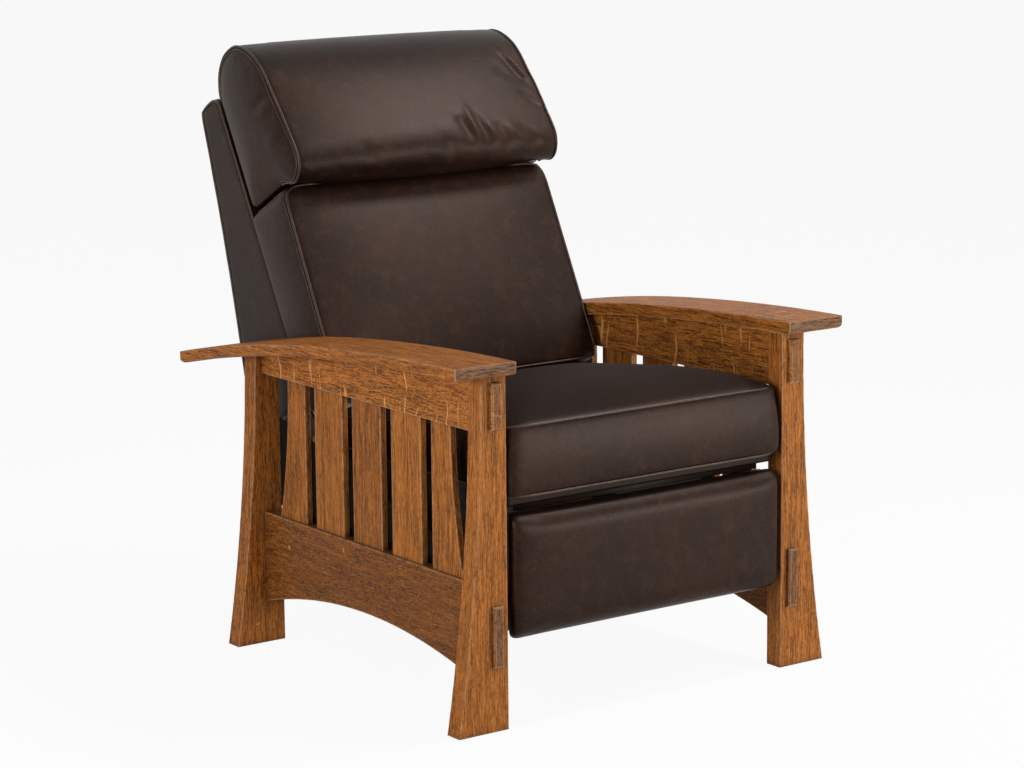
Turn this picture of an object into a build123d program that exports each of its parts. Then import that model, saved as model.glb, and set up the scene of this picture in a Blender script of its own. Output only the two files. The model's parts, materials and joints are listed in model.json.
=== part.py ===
from build123d import *
import math
import os

# Mission reclining armchair: an oak frame with slatted sides, a leather back, seat and footrest, and a
# push-back mechanism. Millimetres, +Z up, front towards -Y, the sitter's left towards +X. A place given as
# (y, z) lies in the side view: y runs back from the front of the front legs, z runs up from the floor.

os.makedirs("parts", exist_ok=True)

# Fits
OVERRUN = 6.0  # how far every cut runs past the surface that it opens
RUN_FIT = 0.05  # radial clearance of a turning pin
JOINERY_FIT = 0.2  # clearance on each side of a tenon in its mortise
SLIDE_GAP = 0.1  # clearance between flat parts that turn on each other

# Seat frame's half width, which sets how far apart the sides, the back and the links stand
SEAT_HALF = 268.0

# Legs
LEG_SEAT_GAP = 12.0  # between the seat frame and a leg
LEG_TOP_WIDTH = 47.0
LEG_FLARE = 47.5  # how much wider a leg is at the floor
LEG_STRAIGHT = 9.3  # upright stretch of the outer edge under the front of the arm
LEG_THICK = 35.3
SIDE_OPENING = 631.2  # between a front leg and a rear leg
LEG_EASE = 1.6

# Arms
ARM_LIP = 4.0  # how far the arm reaches inside the legs
ARM_WIDTH = 114.0
ARM_THICK = 21.5
ARM_HEIGHT = 590.8  # top surface at the front end
ARM_OVERHANG = 22.6  # past the front legs
ARM_BEND = 390.0  # where the curve tightens
ARM_BEND_DROP = 21.6
ARM_TAIL = 111.2  # past the rear legs
ARM_TAIL_DROP = 89.8
ARM_FRONT_RADIUS = 5000.0
ARM_UNDER_ROUND = 8.0
ARM_EASE = 1.6

# Side rails and their tenons
RAIL_THICK = 22.0
RAIL_INSET = 12.5  # from the inner face of the legs
UPPER_RAIL_DROP = 116.3  # lower edge, below the front of the arm
LOWER_RAIL_TOP = 232.0
ARCH_SPRING = 73.0
ARCH_CREST = 117.5
RAIL_EASE = 1.2
TENON_THICK = 19.0
TENON_REACH = 8.0  # end of a through tenon past the leg
TENON_CHAMFER = 2.4
REAR_TENON = 25.0
UPPER_TENON_RISE = 9.5  # above the rail's lower edge
UPPER_TENON_HEIGHT = 74.0
UPPER_REAR_TENON_HEIGHT = 16.0
LOWER_TENON_DROP = 28.0  # below the rail's upper edge
LOWER_TENON_HEIGHT = 100.0

# Slats
SLAT_COUNT = 5
SLAT_PITCH = 115.0
SLAT_WIDTH = 85.0
SLAT_THICK = 12.0
END_SLAT_TOP_WIDTH = 53.5
SLAT_HOUSING = 8.0  # depth that a slat goes into a rail
SLAT_EASE = 1.0

# Stretchers
STUB_TENON = 8.0
STUB_SHOULDER = 8.0
STUB_CHEEK = 5.0
FRONT_STRETCHER_Y = 200.0
FRONT_STRETCHER_THICK = 25.0
FRONT_STRETCHER_BOTTOM = 110.0
FRONT_STRETCHER_HEIGHT = 65.0
REAR_STRETCHER_THICK = 18.0
REAR_STRETCHER_BOTTOM = 120.0
REAR_STRETCHER_HEIGHT = 70.0

# Seat
SEAT_LEVEL = 353.0  # underside of the seat frame
SEAT_RAIL_HEIGHT = 18.0
SEAT_SIDE_RAIL_WIDTH = 45.0
SEAT_FRONT = 15.0
SEAT_REAR = 565.0
SEAT_CROSS_RAIL_DEPTH = 45.0
WEB_THICK = 1.6

# Seat cushion
CUSHION_ARM_GAP = 5.0  # between the cushion's side and the arm's inner edge
CUSHION_FRONT = 1.0
CUSHION_REAR = 555.0
CUSHION_BULGE = 5.0
CUSHION_DRAW = 7.0  # how far the front corners are drawn back
CUSHION_BOX = 109.0  # height of the boxing at the front
CUSHION_REAR_BOX = 45.0
CUSHION_CROWN = 38.0
CUSHION_CROWN_Y = 200.0
CUSHION_SHARES = ((-1.0, 0.12), (-0.62, 0.78), (0.0, 1.0), (0.62, 0.78), (1.0, 0.12))

# Reclining back, in its own plane: out runs forward from the front line of the back, up runs along it
BACK_LEAN = 29.0  # degrees from upright
HINGE_Y = 600.0
HINGE_Z = 360.0
BACK_RISE = 71.0  # foot of the front line above the hinge
SLAB_LEG_GAP = 15.0
SLAB_THICK = 18.0
SLAB_HEIGHT = 564.0
SLAB_TOP_RUN = 17.0
SLAB_TOP_RISE = 10.0
SLAB_TOP_DEPTH = 66.6
SLAB_REAR_HEIGHT = 570.8
SLAB_FOOT_DEPTH = 210.8
SLAB_FOOT_RISE = 1.4
SLAB_HOLLOW = 10.5  # how far the rear edge is hollowed
OUTER_PANEL_DEPTH = 9.0
TOP_RAIL_DEPTH = 57.0
TOP_RAIL_UP = 540.0
TOP_RAIL_HEIGHT = 22.0
LUMBAR_RAIL_DEPTH = 20.0
LUMBAR_RAIL_UP = 10.0
LUMBAR_RAIL_HEIGHT = 35.0
BOTTOM_RAIL_OUT = 158.0
BOTTOM_RAIL_DEPTH = 20.0
BOTTOM_RAIL_UP = 8.0
BOTTOM_RAIL_HEIGHT = 55.0

# Back cushion
BACK_CUSHION_ARM_GAP = 3.0
BACK_CUSHION_UP = -30.0  # foot of the cushion, along the front line of the back
BACK_CUSHION_TOP = 338.0
BACK_CUSHION_FOOT_DEPTH = 124.0
BACK_CUSHION_DEPTH = 135.0
BACK_CUSHION_CORNER = 18.0
BACK_CUSHION_CROWN = 14.0
BACK_CUSHION_SHARES = ((-1.0, 0.1), (-0.62, 0.75), (0.0, 1.0), (0.62, 0.75), (1.0, 0.1))

# Headrest pillow
PILLOW_ARM_GAP = 2.0
PILLOW_FOOT = 341.0
PILLOW_REAR_TOP = 559.0
PILLOW_TOP = 614.0
PILLOW_TOP_DEPTH = 112.0
PILLOW_TOP_BOW = 27.0
PILLOW_BROW_UP = 511.0
PILLOW_BROW_DEPTH = 180.0
PILLOW_BROW_BOW = 15.3
PILLOW_NOSE_UP = 385.0
PILLOW_NOSE_DEPTH = 202.0
PILLOW_NOSE_BOW = 1.0
PILLOW_LIP_UP = 329.0
PILLOW_LIP_DEPTH = 168.0
PILLOW_LIP_BOW = 15.3
PILLOW_LIP_INNER_DEPTH = 150.0
PILLOW_CROWN = 14.0
PILLOW_LIFT = 6.0
PILLOW_SIDE_DRAW = 20.0  # how far the rear is drawn forward at the sides
PILLOW_SHARES = ((-1.0, 0.0), (-0.62, 0.75), (0.0, 1.0), (0.62, 0.75), (1.0, 0.0))

# Footrest
PAD_LEG_GAP = 10.0
PAD_BOTTOM = 145.0
PAD_HEIGHT = 200.0
PAD_FRONT = 12.0  # ahead of the front legs' front faces
PAD_REAR = 22.0
PAD_CORNER = 16.0
PAD_FACE_BOW = 1.0
PAD_CROWN = 2.0
PAD_SHARES = ((-1.0, 0.0), (-0.62, 0.75), (0.0, 1.0), (0.62, 0.75), (1.0, 0.0))
BOARD_THICK = 14.0
BOARD_MARGIN = 7.0
BOARD_SIDE_MARGIN = 8.0

# Linkage: flat links in layers
LINK_REACH = 165.0
LINK_WIDTH = 22.0
LINK_THICK = 5.0
LAYER_GAP = 1.0
RIVET_RADIUS = 4.0
DRIVE_Y = 148.0
DRIVE_Z = 138.0
LINK_LIFT = 80.0  # degrees, lean of the closed links from level
LINK_CLOSE = 60.0  # degrees that each link leans over while the footrest comes out
LINK_TILT = 22.0  # degrees that the whole linkage tips forward meanwhile
CONTROL_RISE = 38.33  # lower pin of the control link above the foot of the middle link
BRACKET_PIN_BACK = 3.6
BRACKET_PIN_RISE = 36.02
CONTROL_PLAY = 2.0  # the control link's upper hole round its pin
SHORT_PLAY = 0.3  # the short link's lower hole round its pin
GUIDE_PLAY = 0.4
GUIDE_POINTS = 9
TUBE_RADIUS = 11.0
TUBE_BORE_RADIUS = 5.0
JOURNAL_RADIUS = 8.0

# Mechanism plate
PLATE_LOBE = 22.0
PLATE_RELIEF = 14.0
PLATE_BOTTOM = 235.0
PLATE_CORNER = 8.0
HINGE_LOBE = 25.0
HINGE_LOBE_REACH = 40.0
FLANGE_THICK = 4.0
FLANGE_WIDTH = 21.0
FOOT_MARGIN = 18.0

# Drive from the back
CRANK_RADIUS = 55.7
CRANK_LEAN = 71.0  # degrees at rest, 90 is upright
CRANK_THICK = 4.0
CRANK_WALL = 5.0
BACK_CRANK_RADIUS = 70.0
BACK_CRANK_LEAN = -75.0  # degrees at rest
ROD_THICK = 4.5
ROD_WIDTH = 20.0
ROD_EYE_RADIUS = 14.0
ROD_PLAY = 0.4
ROD_RISE = 5.6  # how far the front eye lets the crank pin rise and fall
BACK_BRACKET_THICK = 4.5
BOSS_RADIUS = 14.0
BOSS_DEPTHS = (60.0, 120.0)
BOSS_UP = 30.0
HINGE_BOSS_RADIUS = 20.0

# Fasteners
BOLT_RADIUS = 5.0
BOLT_HEAD_RADIUS = 9.0
BOLT_HEAD_THICK = 4.0
BOLT_END = 3.0  # past the wing nut
BOLT_HEAD_EASE = 1.5
SPRING_WASHER_THICK = 2.0
WASHER_RADIUS = 11.0
NUT_RADIUS = 8.0
NUT_THICK = 8.0
WING_SPAN = 34.0
WING_THICK = 3.0
WING_ROUND = 3.0
SCREW_RADIUS = 2.0
SCREW_HEAD_RADIUS = 4.2
SCREW_HEAD_THICK = 2.4
SCREW_LENGTH = 13.0
SEAT_SCREW_PLACES = (180.0, 340.0, 500.0)
BRACKET_SCREW_MARGIN = 12.0
BRACKET_FLANGE_WIDTH = 26.0
BRACKET_FLANGE_THICK = 3.0
BRACKET_FOOT = 250.0
BRACKET_LOBE = 10.0

# Places that follow from the sizes
leg_inner = SEAT_HALF + LEG_SEAT_GAP
arm_inner = leg_inner - ARM_LIP
cushion_half = arm_inner - CUSHION_ARM_GAP
back_cushion_half = arm_inner - BACK_CUSHION_ARM_GAP
pillow_half = arm_inner - PILLOW_ARM_GAP
pad_half = leg_inner - PAD_LEG_GAP
board_half = pad_half - BOARD_SIDE_MARGIN
slab_outer = leg_inner - SLAB_LEG_GAP
slab_inner = slab_outer - SLAB_THICK
rear_leg_y = LEG_THICK + SIDE_OPENING
side_middle_y = LEG_THICK + SIDE_OPENING / 2
leg_top_x = leg_inner + LEG_TOP_WIDTH
leg_foot_x = leg_top_x + LEG_FLARE
flare_top = ARM_HEIGHT - ARM_THICK - LEG_STRAIGHT
arm_rear_y = rear_leg_y + LEG_THICK + ARM_TAIL
rail_x = leg_inner + RAIL_INSET
rail_outer_x = rail_x + RAIL_THICK
rail_middle_x = rail_x + RAIL_THICK / 2
tenon_x = rail_x + TENON_THICK
upper_rail_bottom = ARM_HEIGHT - UPPER_RAIL_DROP
rear_stretcher_y = rear_leg_y + (LEG_THICK - REAR_STRETCHER_THICK) / 2
front_stretcher_top = FRONT_STRETCHER_BOTTOM + FRONT_STRETCHER_HEIGHT
front_stretcher_rear = FRONT_STRETCHER_Y + FRONT_STRETCHER_THICK
rear_stretcher_top = REAR_STRETCHER_BOTTOM + REAR_STRETCHER_HEIGHT
seat_top = SEAT_LEVEL + SEAT_RAIL_HEIGHT
web_top = seat_top + WEB_THICK
back_z = HINGE_Z + BACK_RISE
board_rear = PAD_REAR + BOARD_THICK
lean = math.radians(BACK_LEAN)
back_rear_y = HINGE_Y + SLAB_TOP_DEPTH * math.cos(lean) + SLAB_REAR_HEIGHT * math.sin(lean)
SETBACK = (back_rear_y - ARM_OVERHANG) / 2  # from the front legs' front faces to the origin

# Planes of drawing: side view (y, z), face view (x, z) and the back's own (out, up)
SIDE = Plane(origin=(0, -SETBACK, 0), x_dir=(0, 1, 0), z_dir=(1, 0, 0))
FACE = Plane(origin=(0, -SETBACK, 0), x_dir=(1, 0, 0), z_dir=(0, -1, 0))
BACK = Plane(
    origin=(0, HINGE_Y - SETBACK, back_z),
    x_dir=(0, -math.cos(lean), math.sin(lean)),
    z_dir=(-1, 0, 0),
)


def from_back(out, up):
    """Side-view place (y, z) of a point given in the back's own plane."""
    y = HINGE_Y - out * math.cos(lean) + up * math.sin(lean)
    z = back_z + out * math.sin(lean) + up * math.cos(lean)
    return (y, z)


def towards(start, reach, angle):
    """Place at a reach and an angle in degrees from another place."""
    turn = math.radians(angle)
    return (start[0] + reach * math.cos(turn), start[1] + reach * math.sin(turn))


def between(start, end):
    """Place halfway between two places."""
    return ((start[0] + end[0]) / 2, (start[1] + end[1]) / 2)


# Pins of the closed linkage
drive_pin = (DRIVE_Y, DRIVE_Z)
first_top = towards(drive_pin, LINK_REACH, 180 - LINK_LIFT)
second_foot = towards(first_top, -LINK_REACH, LINK_LIFT)
third_top = towards(second_foot, LINK_REACH, 180 - LINK_LIFT)
first_cross = between(drive_pin, first_top)
second_cross = between(first_top, second_foot)
guide_foot = towards(first_cross, -LINK_REACH / 2, LINK_LIFT)
guide_top = towards(first_cross, LINK_REACH / 2, LINK_LIFT)
control_foot = towards(second_foot, CONTROL_RISE, LINK_LIFT)
control_top = (third_top[0] + BRACKET_PIN_BACK, third_top[1] + BRACKET_PIN_RISE)
hinge_pin = (HINGE_Y, HINGE_Z)
crank_pin = towards(drive_pin, CRANK_RADIUS, CRANK_LEAN)
back_crank_pin = towards(hinge_pin, BACK_CRANK_RADIUS, BACK_CRANK_LEAN)

# Layers of the mechanism inward from the back's side panels, by the distance of their inner face from the
# middle of the chair
layer_step = LINK_THICK + LAYER_GAP
rod_layer = slab_inner
rod_outer = rod_layer + ROD_THICK
crank_outer = rod_layer - LAYER_GAP
crank_layer = crank_outer - CRANK_THICK
plate_outer = crank_layer - LAYER_GAP
plate_layer = plate_outer - LINK_THICK
outer_layer = plate_layer - layer_step
inner_layer = outer_layer - layer_step
control_layer = inner_layer - layer_step
bracket_layer = slab_inner - BACK_BRACKET_THICK
flange_inner = plate_layer - FLANGE_WIDTH
bolt_head_outer = slab_inner + SLIDE_GAP + BOLT_HEAD_THICK
nut_outer = plate_layer - SPRING_WASHER_THICK
nut_inner = nut_outer - NUT_THICK

# Screws and the bosses that take them
foot_screw_x = flange_inner + FLANGE_WIDTH / 2
front_screw_y = FRONT_STRETCHER_Y + FRONT_STRETCHER_THICK / 2
rear_screw_y = rear_stretcher_y + REAR_STRETCHER_THICK / 2
top_screw_x = (SEAT_HALF - SEAT_SIDE_RAIL_WIDTH + plate_layer) / 2
bracket_screw_x = inner_layer - BRACKET_FLANGE_WIDTH / 2
bracket_screw_heights = (
    BRACKET_FOOT + BRACKET_SCREW_MARGIN,
    PAD_BOTTOM + PAD_HEIGHT - BOARD_MARGIN - BRACKET_SCREW_MARGIN,
)
boss_places = [from_back(-depth, BOSS_UP) for depth in BOSS_DEPTHS]


def guide_place(share, side=0):
    """Place of the guide pin when the footrest is a share of the way out, moved to one side of its path."""
    turn = math.radians(LINK_TILT * share)
    lift = math.radians(LINK_LIFT - LINK_CLOSE * share)
    reach = LINK_REACH * math.sin(lift)
    inward = LINK_REACH * math.cos(lift) * math.radians(LINK_CLOSE)
    swing = reach * math.radians(LINK_TILT)
    y_rate = swing * math.cos(turn) - inward * math.sin(turn)
    z_rate = -swing * math.sin(turn) - inward * math.cos(turn)
    scale = side / math.hypot(y_rate, z_rate)
    y = DRIVE_Y + reach * math.sin(turn) - z_rate * scale
    z = DRIVE_Z + reach * math.cos(turn) + y_rate * scale
    return (y, z)


def guide_end(share, reach):
    """Place just past the guide pin's path, in line with it, for the rounded end of its slot."""
    start = guide_place(share)
    beside = guide_place(share, reach)
    return (start[0] + beside[1] - start[1], start[1] - beside[0] + start[0])


def block(x_range, y_range, z_range, mode=Mode.ADD):
    """Plain block between pairs of faces."""
    middle = (sum(x_range) / 2, sum(y_range) / 2 - SETBACK, sum(z_range) / 2)
    with Locations(middle):
        Box(x_range[1] - x_range[0], y_range[1] - y_range[0], z_range[1] - z_range[0], mode=mode)


def pin(place, radius, x_range, mode=Mode.ADD):
    """Round pin or hole along X at a side-view place."""
    with Locations((sum(x_range) / 2, place[0] - SETBACK, place[1])):
        Cylinder(radius, x_range[1] - x_range[0], rotation=(0, 90, 0), mode=mode)


def hole(place, radius, x_range):
    """Round hole along X right through the faces given."""
    pin(place, radius, (x_range[0] - OVERRUN, x_range[1] + OVERRUN), mode=Mode.SUBTRACT)


def upright(x, y, radius, z_range, mode=Mode.ADD):
    """Round pin or hole along Z."""
    with Locations((x, y - SETBACK, sum(z_range) / 2)):
        Cylinder(radius, z_range[1] - z_range[0], mode=mode)


def lengthwise(x, z, radius, y_range, mode=Mode.ADD):
    """Round pin or hole along Y."""
    with Locations((x, sum(y_range) / 2 - SETBACK, z)):
        Cylinder(radius, y_range[1] - y_range[0], rotation=(90, 0, 0), mode=mode)


def link(layer, start, end):
    """Flat link with round ends, from one pin's place to another's."""
    with BuildSketch(SIDE.offset(layer)) as outline:
        SlotCenterPoint(between(start, end), end, LINK_WIDTH)
    extrude(outline.sketch, amount=LINK_THICK)


def save(piece, name):
    """Label a finished sub-part and write its file."""
    piece.part.label = name
    export_step(piece.part, f"parts/{name}.step")


def save_pair(piece, name):
    """Write a sub-part for the sitter's left and its mirror image for the right."""
    save(piece, f"{name}_left")
    with BuildPart() as other:
        mirror(piece.part, about=Plane.YZ)
    save(other, f"{name}_right")


def save_both(piece, name):
    """Write a left sub-part and its mirror image as separate solids of one node."""
    with BuildPart() as both:
        add(piece.part)
        mirror(piece.part, about=Plane.YZ)
    save(both, name)


# Oak frame
def arm_curve(drop):
    """Long curve of the arm in the side view, lowered by drop, for a BuildLine block."""
    front = RadiusArc(
        (-ARM_OVERHANG, ARM_HEIGHT - drop),
        (ARM_BEND, ARM_HEIGHT - ARM_BEND_DROP - drop),
        ARM_FRONT_RADIUS,
    )
    rear = TangentArc(
        front @ 1,
        (arm_rear_y, ARM_HEIGHT - ARM_TAIL_DROP - drop),
        tangent=front % 1,
    )
    return front, rear


def armrest():
    """Wide board, straight in plan and bowed along its length, rounded under its free edges."""
    with BuildPart() as arm:
        with BuildSketch(SIDE.offset(arm_inner)):
            with BuildLine():
                top_front, top_rear = arm_curve(0)
                under_front, under_rear = arm_curve(ARM_THICK)
                Line(top_front @ 0, under_front @ 0)
                Line(top_rear @ 1, under_rear @ 1)
            make_face()
        extrude(amount=ARM_WIDTH)
        outer_arcs = arm.faces().sort_by(Axis.X)[-1].edges().filter_by(GeomType.CIRCLE).sort_by(Axis.Y)
        corners = arm.edges().filter_by(Axis.X).sort_by(Axis.Y)
        pairs = (outer_arcs[:2], outer_arcs[2:], corners[:2], corners[-2:])
        fillet([pair.sort_by(Axis.Z)[0] for pair in pairs], ARM_UNDER_ROUND)
        upper = arm.faces().sort_by(lambda face: face.normal_at().Z)[-2:].edges()
        across = upper.filter_by(Axis.X).sort_by(Axis.Y)
        fillet(upper.filter_by(GeomType.CIRCLE) + [across[0], across[-1]], ARM_EASE)
    return arm


with BuildPart() as arm_space:
    with BuildSketch(SIDE):
        with BuildLine():
            low_front, low_rear = arm_curve(ARM_THICK)
            Polyline(
                low_rear @ 1,
                (arm_rear_y, ARM_HEIGHT + OVERRUN),
                (-ARM_OVERHANG, ARM_HEIGHT + OVERRUN),
                low_front @ 0,
            )
        make_face()
    extrude(amount=arm_inner + ARM_WIDTH)


def leg(front_y):
    """Board facing forward, straight inside and flared outside, cut to the underside of the arm."""
    with BuildPart() as board:
        with BuildSketch(FACE.offset(-front_y)):
            with BuildLine():
                Polyline(
                    (leg_inner, 0),
                    (leg_inner, ARM_HEIGHT),
                    (leg_top_x, ARM_HEIGHT),
                    (leg_top_x, flare_top),
                )
                TangentArc((leg_top_x, flare_top), (leg_foot_x, 0), tangent=(0, -1))
                Line((leg_foot_x, 0), (leg_inner, 0))
            make_face()
        extrude(amount=-LEG_THICK)
        fillet(board.faces().filter_by(Axis.Y).edges(), LEG_EASE)
        add(arm_space.part, mode=Mode.SUBTRACT)
    return board


def tenon_faces(rise_from, rise_to, fit):
    """Cross-section of a side rail's tenon, widened by a fit, as x and z ranges."""
    return (rail_x - fit, tenon_x + fit), (rise_from - fit, rise_to + fit)


upper_tenon_bottom = upper_rail_bottom + UPPER_TENON_RISE
upper_tenon = (upper_tenon_bottom, upper_tenon_bottom + UPPER_TENON_HEIGHT)
upper_rear_tenon = (upper_tenon_bottom, upper_tenon_bottom + UPPER_REAR_TENON_HEIGHT)
lower_tenon = (LOWER_RAIL_TOP - LOWER_TENON_DROP - LOWER_TENON_HEIGHT, LOWER_RAIL_TOP - LOWER_TENON_DROP)


def front_leg():
    """Front leg with two through mortises."""
    with BuildPart() as piece:
        add(leg(0).part)
        for tenon in (upper_tenon, lower_tenon):
            x_range, z_range = tenon_faces(*tenon, JOINERY_FIT)
            block(x_range, (-OVERRUN, LEG_THICK + OVERRUN), z_range, mode=Mode.SUBTRACT)
    return piece


def rear_leg():
    """Rear leg with two blind mortises for the rails and one for the stretcher."""
    with BuildPart() as piece:
        add(leg(rear_leg_y).part)
        for tenon in (upper_rear_tenon, lower_tenon):
            x_range, z_range = tenon_faces(*tenon, JOINERY_FIT)
            y_range = (rear_leg_y - OVERRUN, rear_leg_y + REAR_TENON + JOINERY_FIT)
            block(x_range, y_range, z_range, mode=Mode.SUBTRACT)
        block(
            (leg_inner - OVERRUN, leg_inner + STUB_TENON + JOINERY_FIT),
            *rear_stub_faces(JOINERY_FIT),
            mode=Mode.SUBTRACT,
        )
    return piece


def rear_stub_faces(fit):
    """Cross-section of the rear stretcher's stub tenons, as y and z ranges."""
    stub_front = rear_stretcher_y + STUB_CHEEK
    stub_rear = rear_stretcher_y + REAR_STRETCHER_THICK - STUB_CHEEK
    y_range = (stub_front - fit, stub_rear + fit)
    z_range = (REAR_STRETCHER_BOTTOM + STUB_SHOULDER - fit, rear_stretcher_top - STUB_SHOULDER + fit)
    return y_range, z_range


def front_stub_faces(fit):
    """Cross-section of the front stretcher's stub tenons, as y and z ranges."""
    rear = FRONT_STRETCHER_Y + FRONT_STRETCHER_THICK
    y_range = (FRONT_STRETCHER_Y + STUB_CHEEK - fit, rear - STUB_CHEEK + fit)
    z_range = (FRONT_STRETCHER_BOTTOM + STUB_SHOULDER - fit, front_stretcher_top - STUB_SHOULDER + fit)
    return y_range, z_range


def slat_spans():
    """Each slat's top and bottom y ranges; the end slats widen towards the legs on their way down."""
    spans = []
    for index in range(SLAT_COUNT):
        step = index - (SLAT_COUNT - 1) / 2
        front = side_middle_y + step * SLAT_PITCH - SLAT_WIDTH / 2
        rear = front + SLAT_WIDTH
        top = (front, rear)
        if index == 0:
            top = (rear - END_SLAT_TOP_WIDTH, rear)
        if index == SLAT_COUNT - 1:
            top = (front, front + END_SLAT_TOP_WIDTH)
        spans.append((top, (front, rear)))
    return spans


slat_x = (rail_middle_x - SLAT_THICK / 2, rail_middle_x + SLAT_THICK / 2)
housing_x = (slat_x[0] - JOINERY_FIT, slat_x[1] + JOINERY_FIT)


def slat_edge(top_y, bottom_y):
    """One long edge of a slat, from above the upper housing to below the lower one."""
    Line((top_y, upper_rail_bottom + SLAT_HOUSING), (top_y, upper_rail_bottom))
    if top_y == bottom_y:
        Line((top_y, upper_rail_bottom), (bottom_y, LOWER_RAIL_TOP))
    else:
        TangentArc((top_y, upper_rail_bottom), (bottom_y, LOWER_RAIL_TOP), tangent=(0, -1))
    Line((bottom_y, LOWER_RAIL_TOP), (bottom_y, LOWER_RAIL_TOP - SLAT_HOUSING))


def slat(top, bottom):
    """Side slat, housed in both rails."""
    with BuildPart() as board:
        with BuildSketch(SIDE.offset(slat_x[0])):
            with BuildLine():
                slat_edge(top[0], bottom[0])
                slat_edge(top[1], bottom[1])
                Line(
                    (top[0], upper_rail_bottom + SLAT_HOUSING),
                    (top[1], upper_rail_bottom + SLAT_HOUSING),
                )
                Line(
                    (bottom[0], LOWER_RAIL_TOP - SLAT_HOUSING),
                    (bottom[1], LOWER_RAIL_TOP - SLAT_HOUSING),
                )
            make_face()
        extrude(amount=SLAT_THICK)
        chamfer(board.faces().filter_by(Axis.X).edges(), SLAT_EASE)
    return board


def upper_rail():
    """Rail under the arm, its upper edge cut to the arm's curve, with housings for the slats."""
    with BuildPart() as rail:
        block((rail_x, rail_outer_x), (LEG_THICK, rear_leg_y), (upper_rail_bottom, ARM_HEIGHT))
        add(arm_space.part, mode=Mode.SUBTRACT)
        chamfer(rail.edges().filter_by(Axis.Y).sort_by(Axis.Z)[:2], RAIL_EASE)
        x_range, z_range = tenon_faces(*upper_tenon, 0)
        block(x_range, (-TENON_REACH, LEG_THICK), z_range)
        chamfer(rail.faces().sort_by(Axis.Y)[0].edges(), TENON_CHAMFER)
        x_range, z_range = tenon_faces(*upper_rear_tenon, 0)
        block(x_range, (rear_leg_y, rear_leg_y + REAR_TENON), z_range)
        for top, _ in slat_spans():
            y_range = (top[0] - JOINERY_FIT, top[1] + JOINERY_FIT)
            z_range = (upper_rail_bottom - OVERRUN, upper_rail_bottom + SLAT_HOUSING + JOINERY_FIT)
            block(housing_x, y_range, z_range, mode=Mode.SUBTRACT)
    return rail


def lower_rail():
    """Rail with an arched lower edge, housings for the slats and a mortise for the stretcher."""
    with BuildPart() as rail:
        with BuildSketch(SIDE.offset(rail_x)):
            with BuildLine():
                ThreePointArc(
                    (LEG_THICK, ARCH_SPRING),
                    (side_middle_y, ARCH_CREST),
                    (rear_leg_y, ARCH_SPRING),
                )
                Polyline(
                    (rear_leg_y, ARCH_SPRING),
                    (rear_leg_y, LOWER_RAIL_TOP),
                    (LEG_THICK, LOWER_RAIL_TOP),
                    (LEG_THICK, ARCH_SPRING),
                )
            make_face()
        extrude(amount=RAIL_THICK)
        arch_edges = rail.edges().filter_by(GeomType.CIRCLE)
        top_edges = rail.edges().filter_by(Axis.Y).group_by(Axis.Z)[-1]
        chamfer(arch_edges + top_edges, RAIL_EASE)
        x_range, z_range = tenon_faces(*lower_tenon, 0)
        block(x_range, (-TENON_REACH, LEG_THICK), z_range)
        chamfer(rail.faces().sort_by(Axis.Y)[0].edges(), TENON_CHAMFER)
        block(x_range, (rear_leg_y, rear_leg_y + REAR_TENON), z_range)
        for _, bottom in slat_spans():
            y_range = (bottom[0] - JOINERY_FIT, bottom[1] + JOINERY_FIT)
            z_range = (LOWER_RAIL_TOP - SLAT_HOUSING - JOINERY_FIT, LOWER_RAIL_TOP + OVERRUN)
            block(housing_x, y_range, z_range, mode=Mode.SUBTRACT)
        block(
            (rail_x - OVERRUN, rail_x + STUB_TENON + JOINERY_FIT),
            *front_stub_faces(JOINERY_FIT),
            mode=Mode.SUBTRACT,
        )
    return rail


def front_stretcher():
    """Cross rail between the lower side rails; it carries the front of the mechanism."""
    with BuildPart() as rail:
        y_range = (FRONT_STRETCHER_Y, FRONT_STRETCHER_Y + FRONT_STRETCHER_THICK)
        block((-rail_x, rail_x), y_range, (FRONT_STRETCHER_BOTTOM, front_stretcher_top))
        block((-rail_x - STUB_TENON, rail_x + STUB_TENON), *front_stub_faces(0))
        for x in (-foot_screw_x, foot_screw_x):
            z_range = (front_stretcher_top + FLANGE_THICK - SCREW_LENGTH, front_stretcher_top + OVERRUN)
            upright(x, front_screw_y, SCREW_RADIUS, z_range, mode=Mode.SUBTRACT)
    return rail


def rear_stretcher():
    """Cross rail between the rear legs; it carries the rear of the mechanism."""
    with BuildPart() as rail:
        y_range = (rear_stretcher_y, rear_stretcher_y + REAR_STRETCHER_THICK)
        block((-leg_inner, leg_inner), y_range, (REAR_STRETCHER_BOTTOM, rear_stretcher_top))
        block((-leg_inner - STUB_TENON, leg_inner + STUB_TENON), *rear_stub_faces(0))
        for x in (-foot_screw_x, foot_screw_x):
            z_range = (rear_stretcher_top + FLANGE_THICK - SCREW_LENGTH, rear_stretcher_top + OVERRUN)
            upright(x, rear_screw_y, SCREW_RADIUS, z_range, mode=Mode.SUBTRACT)
    return rail


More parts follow.
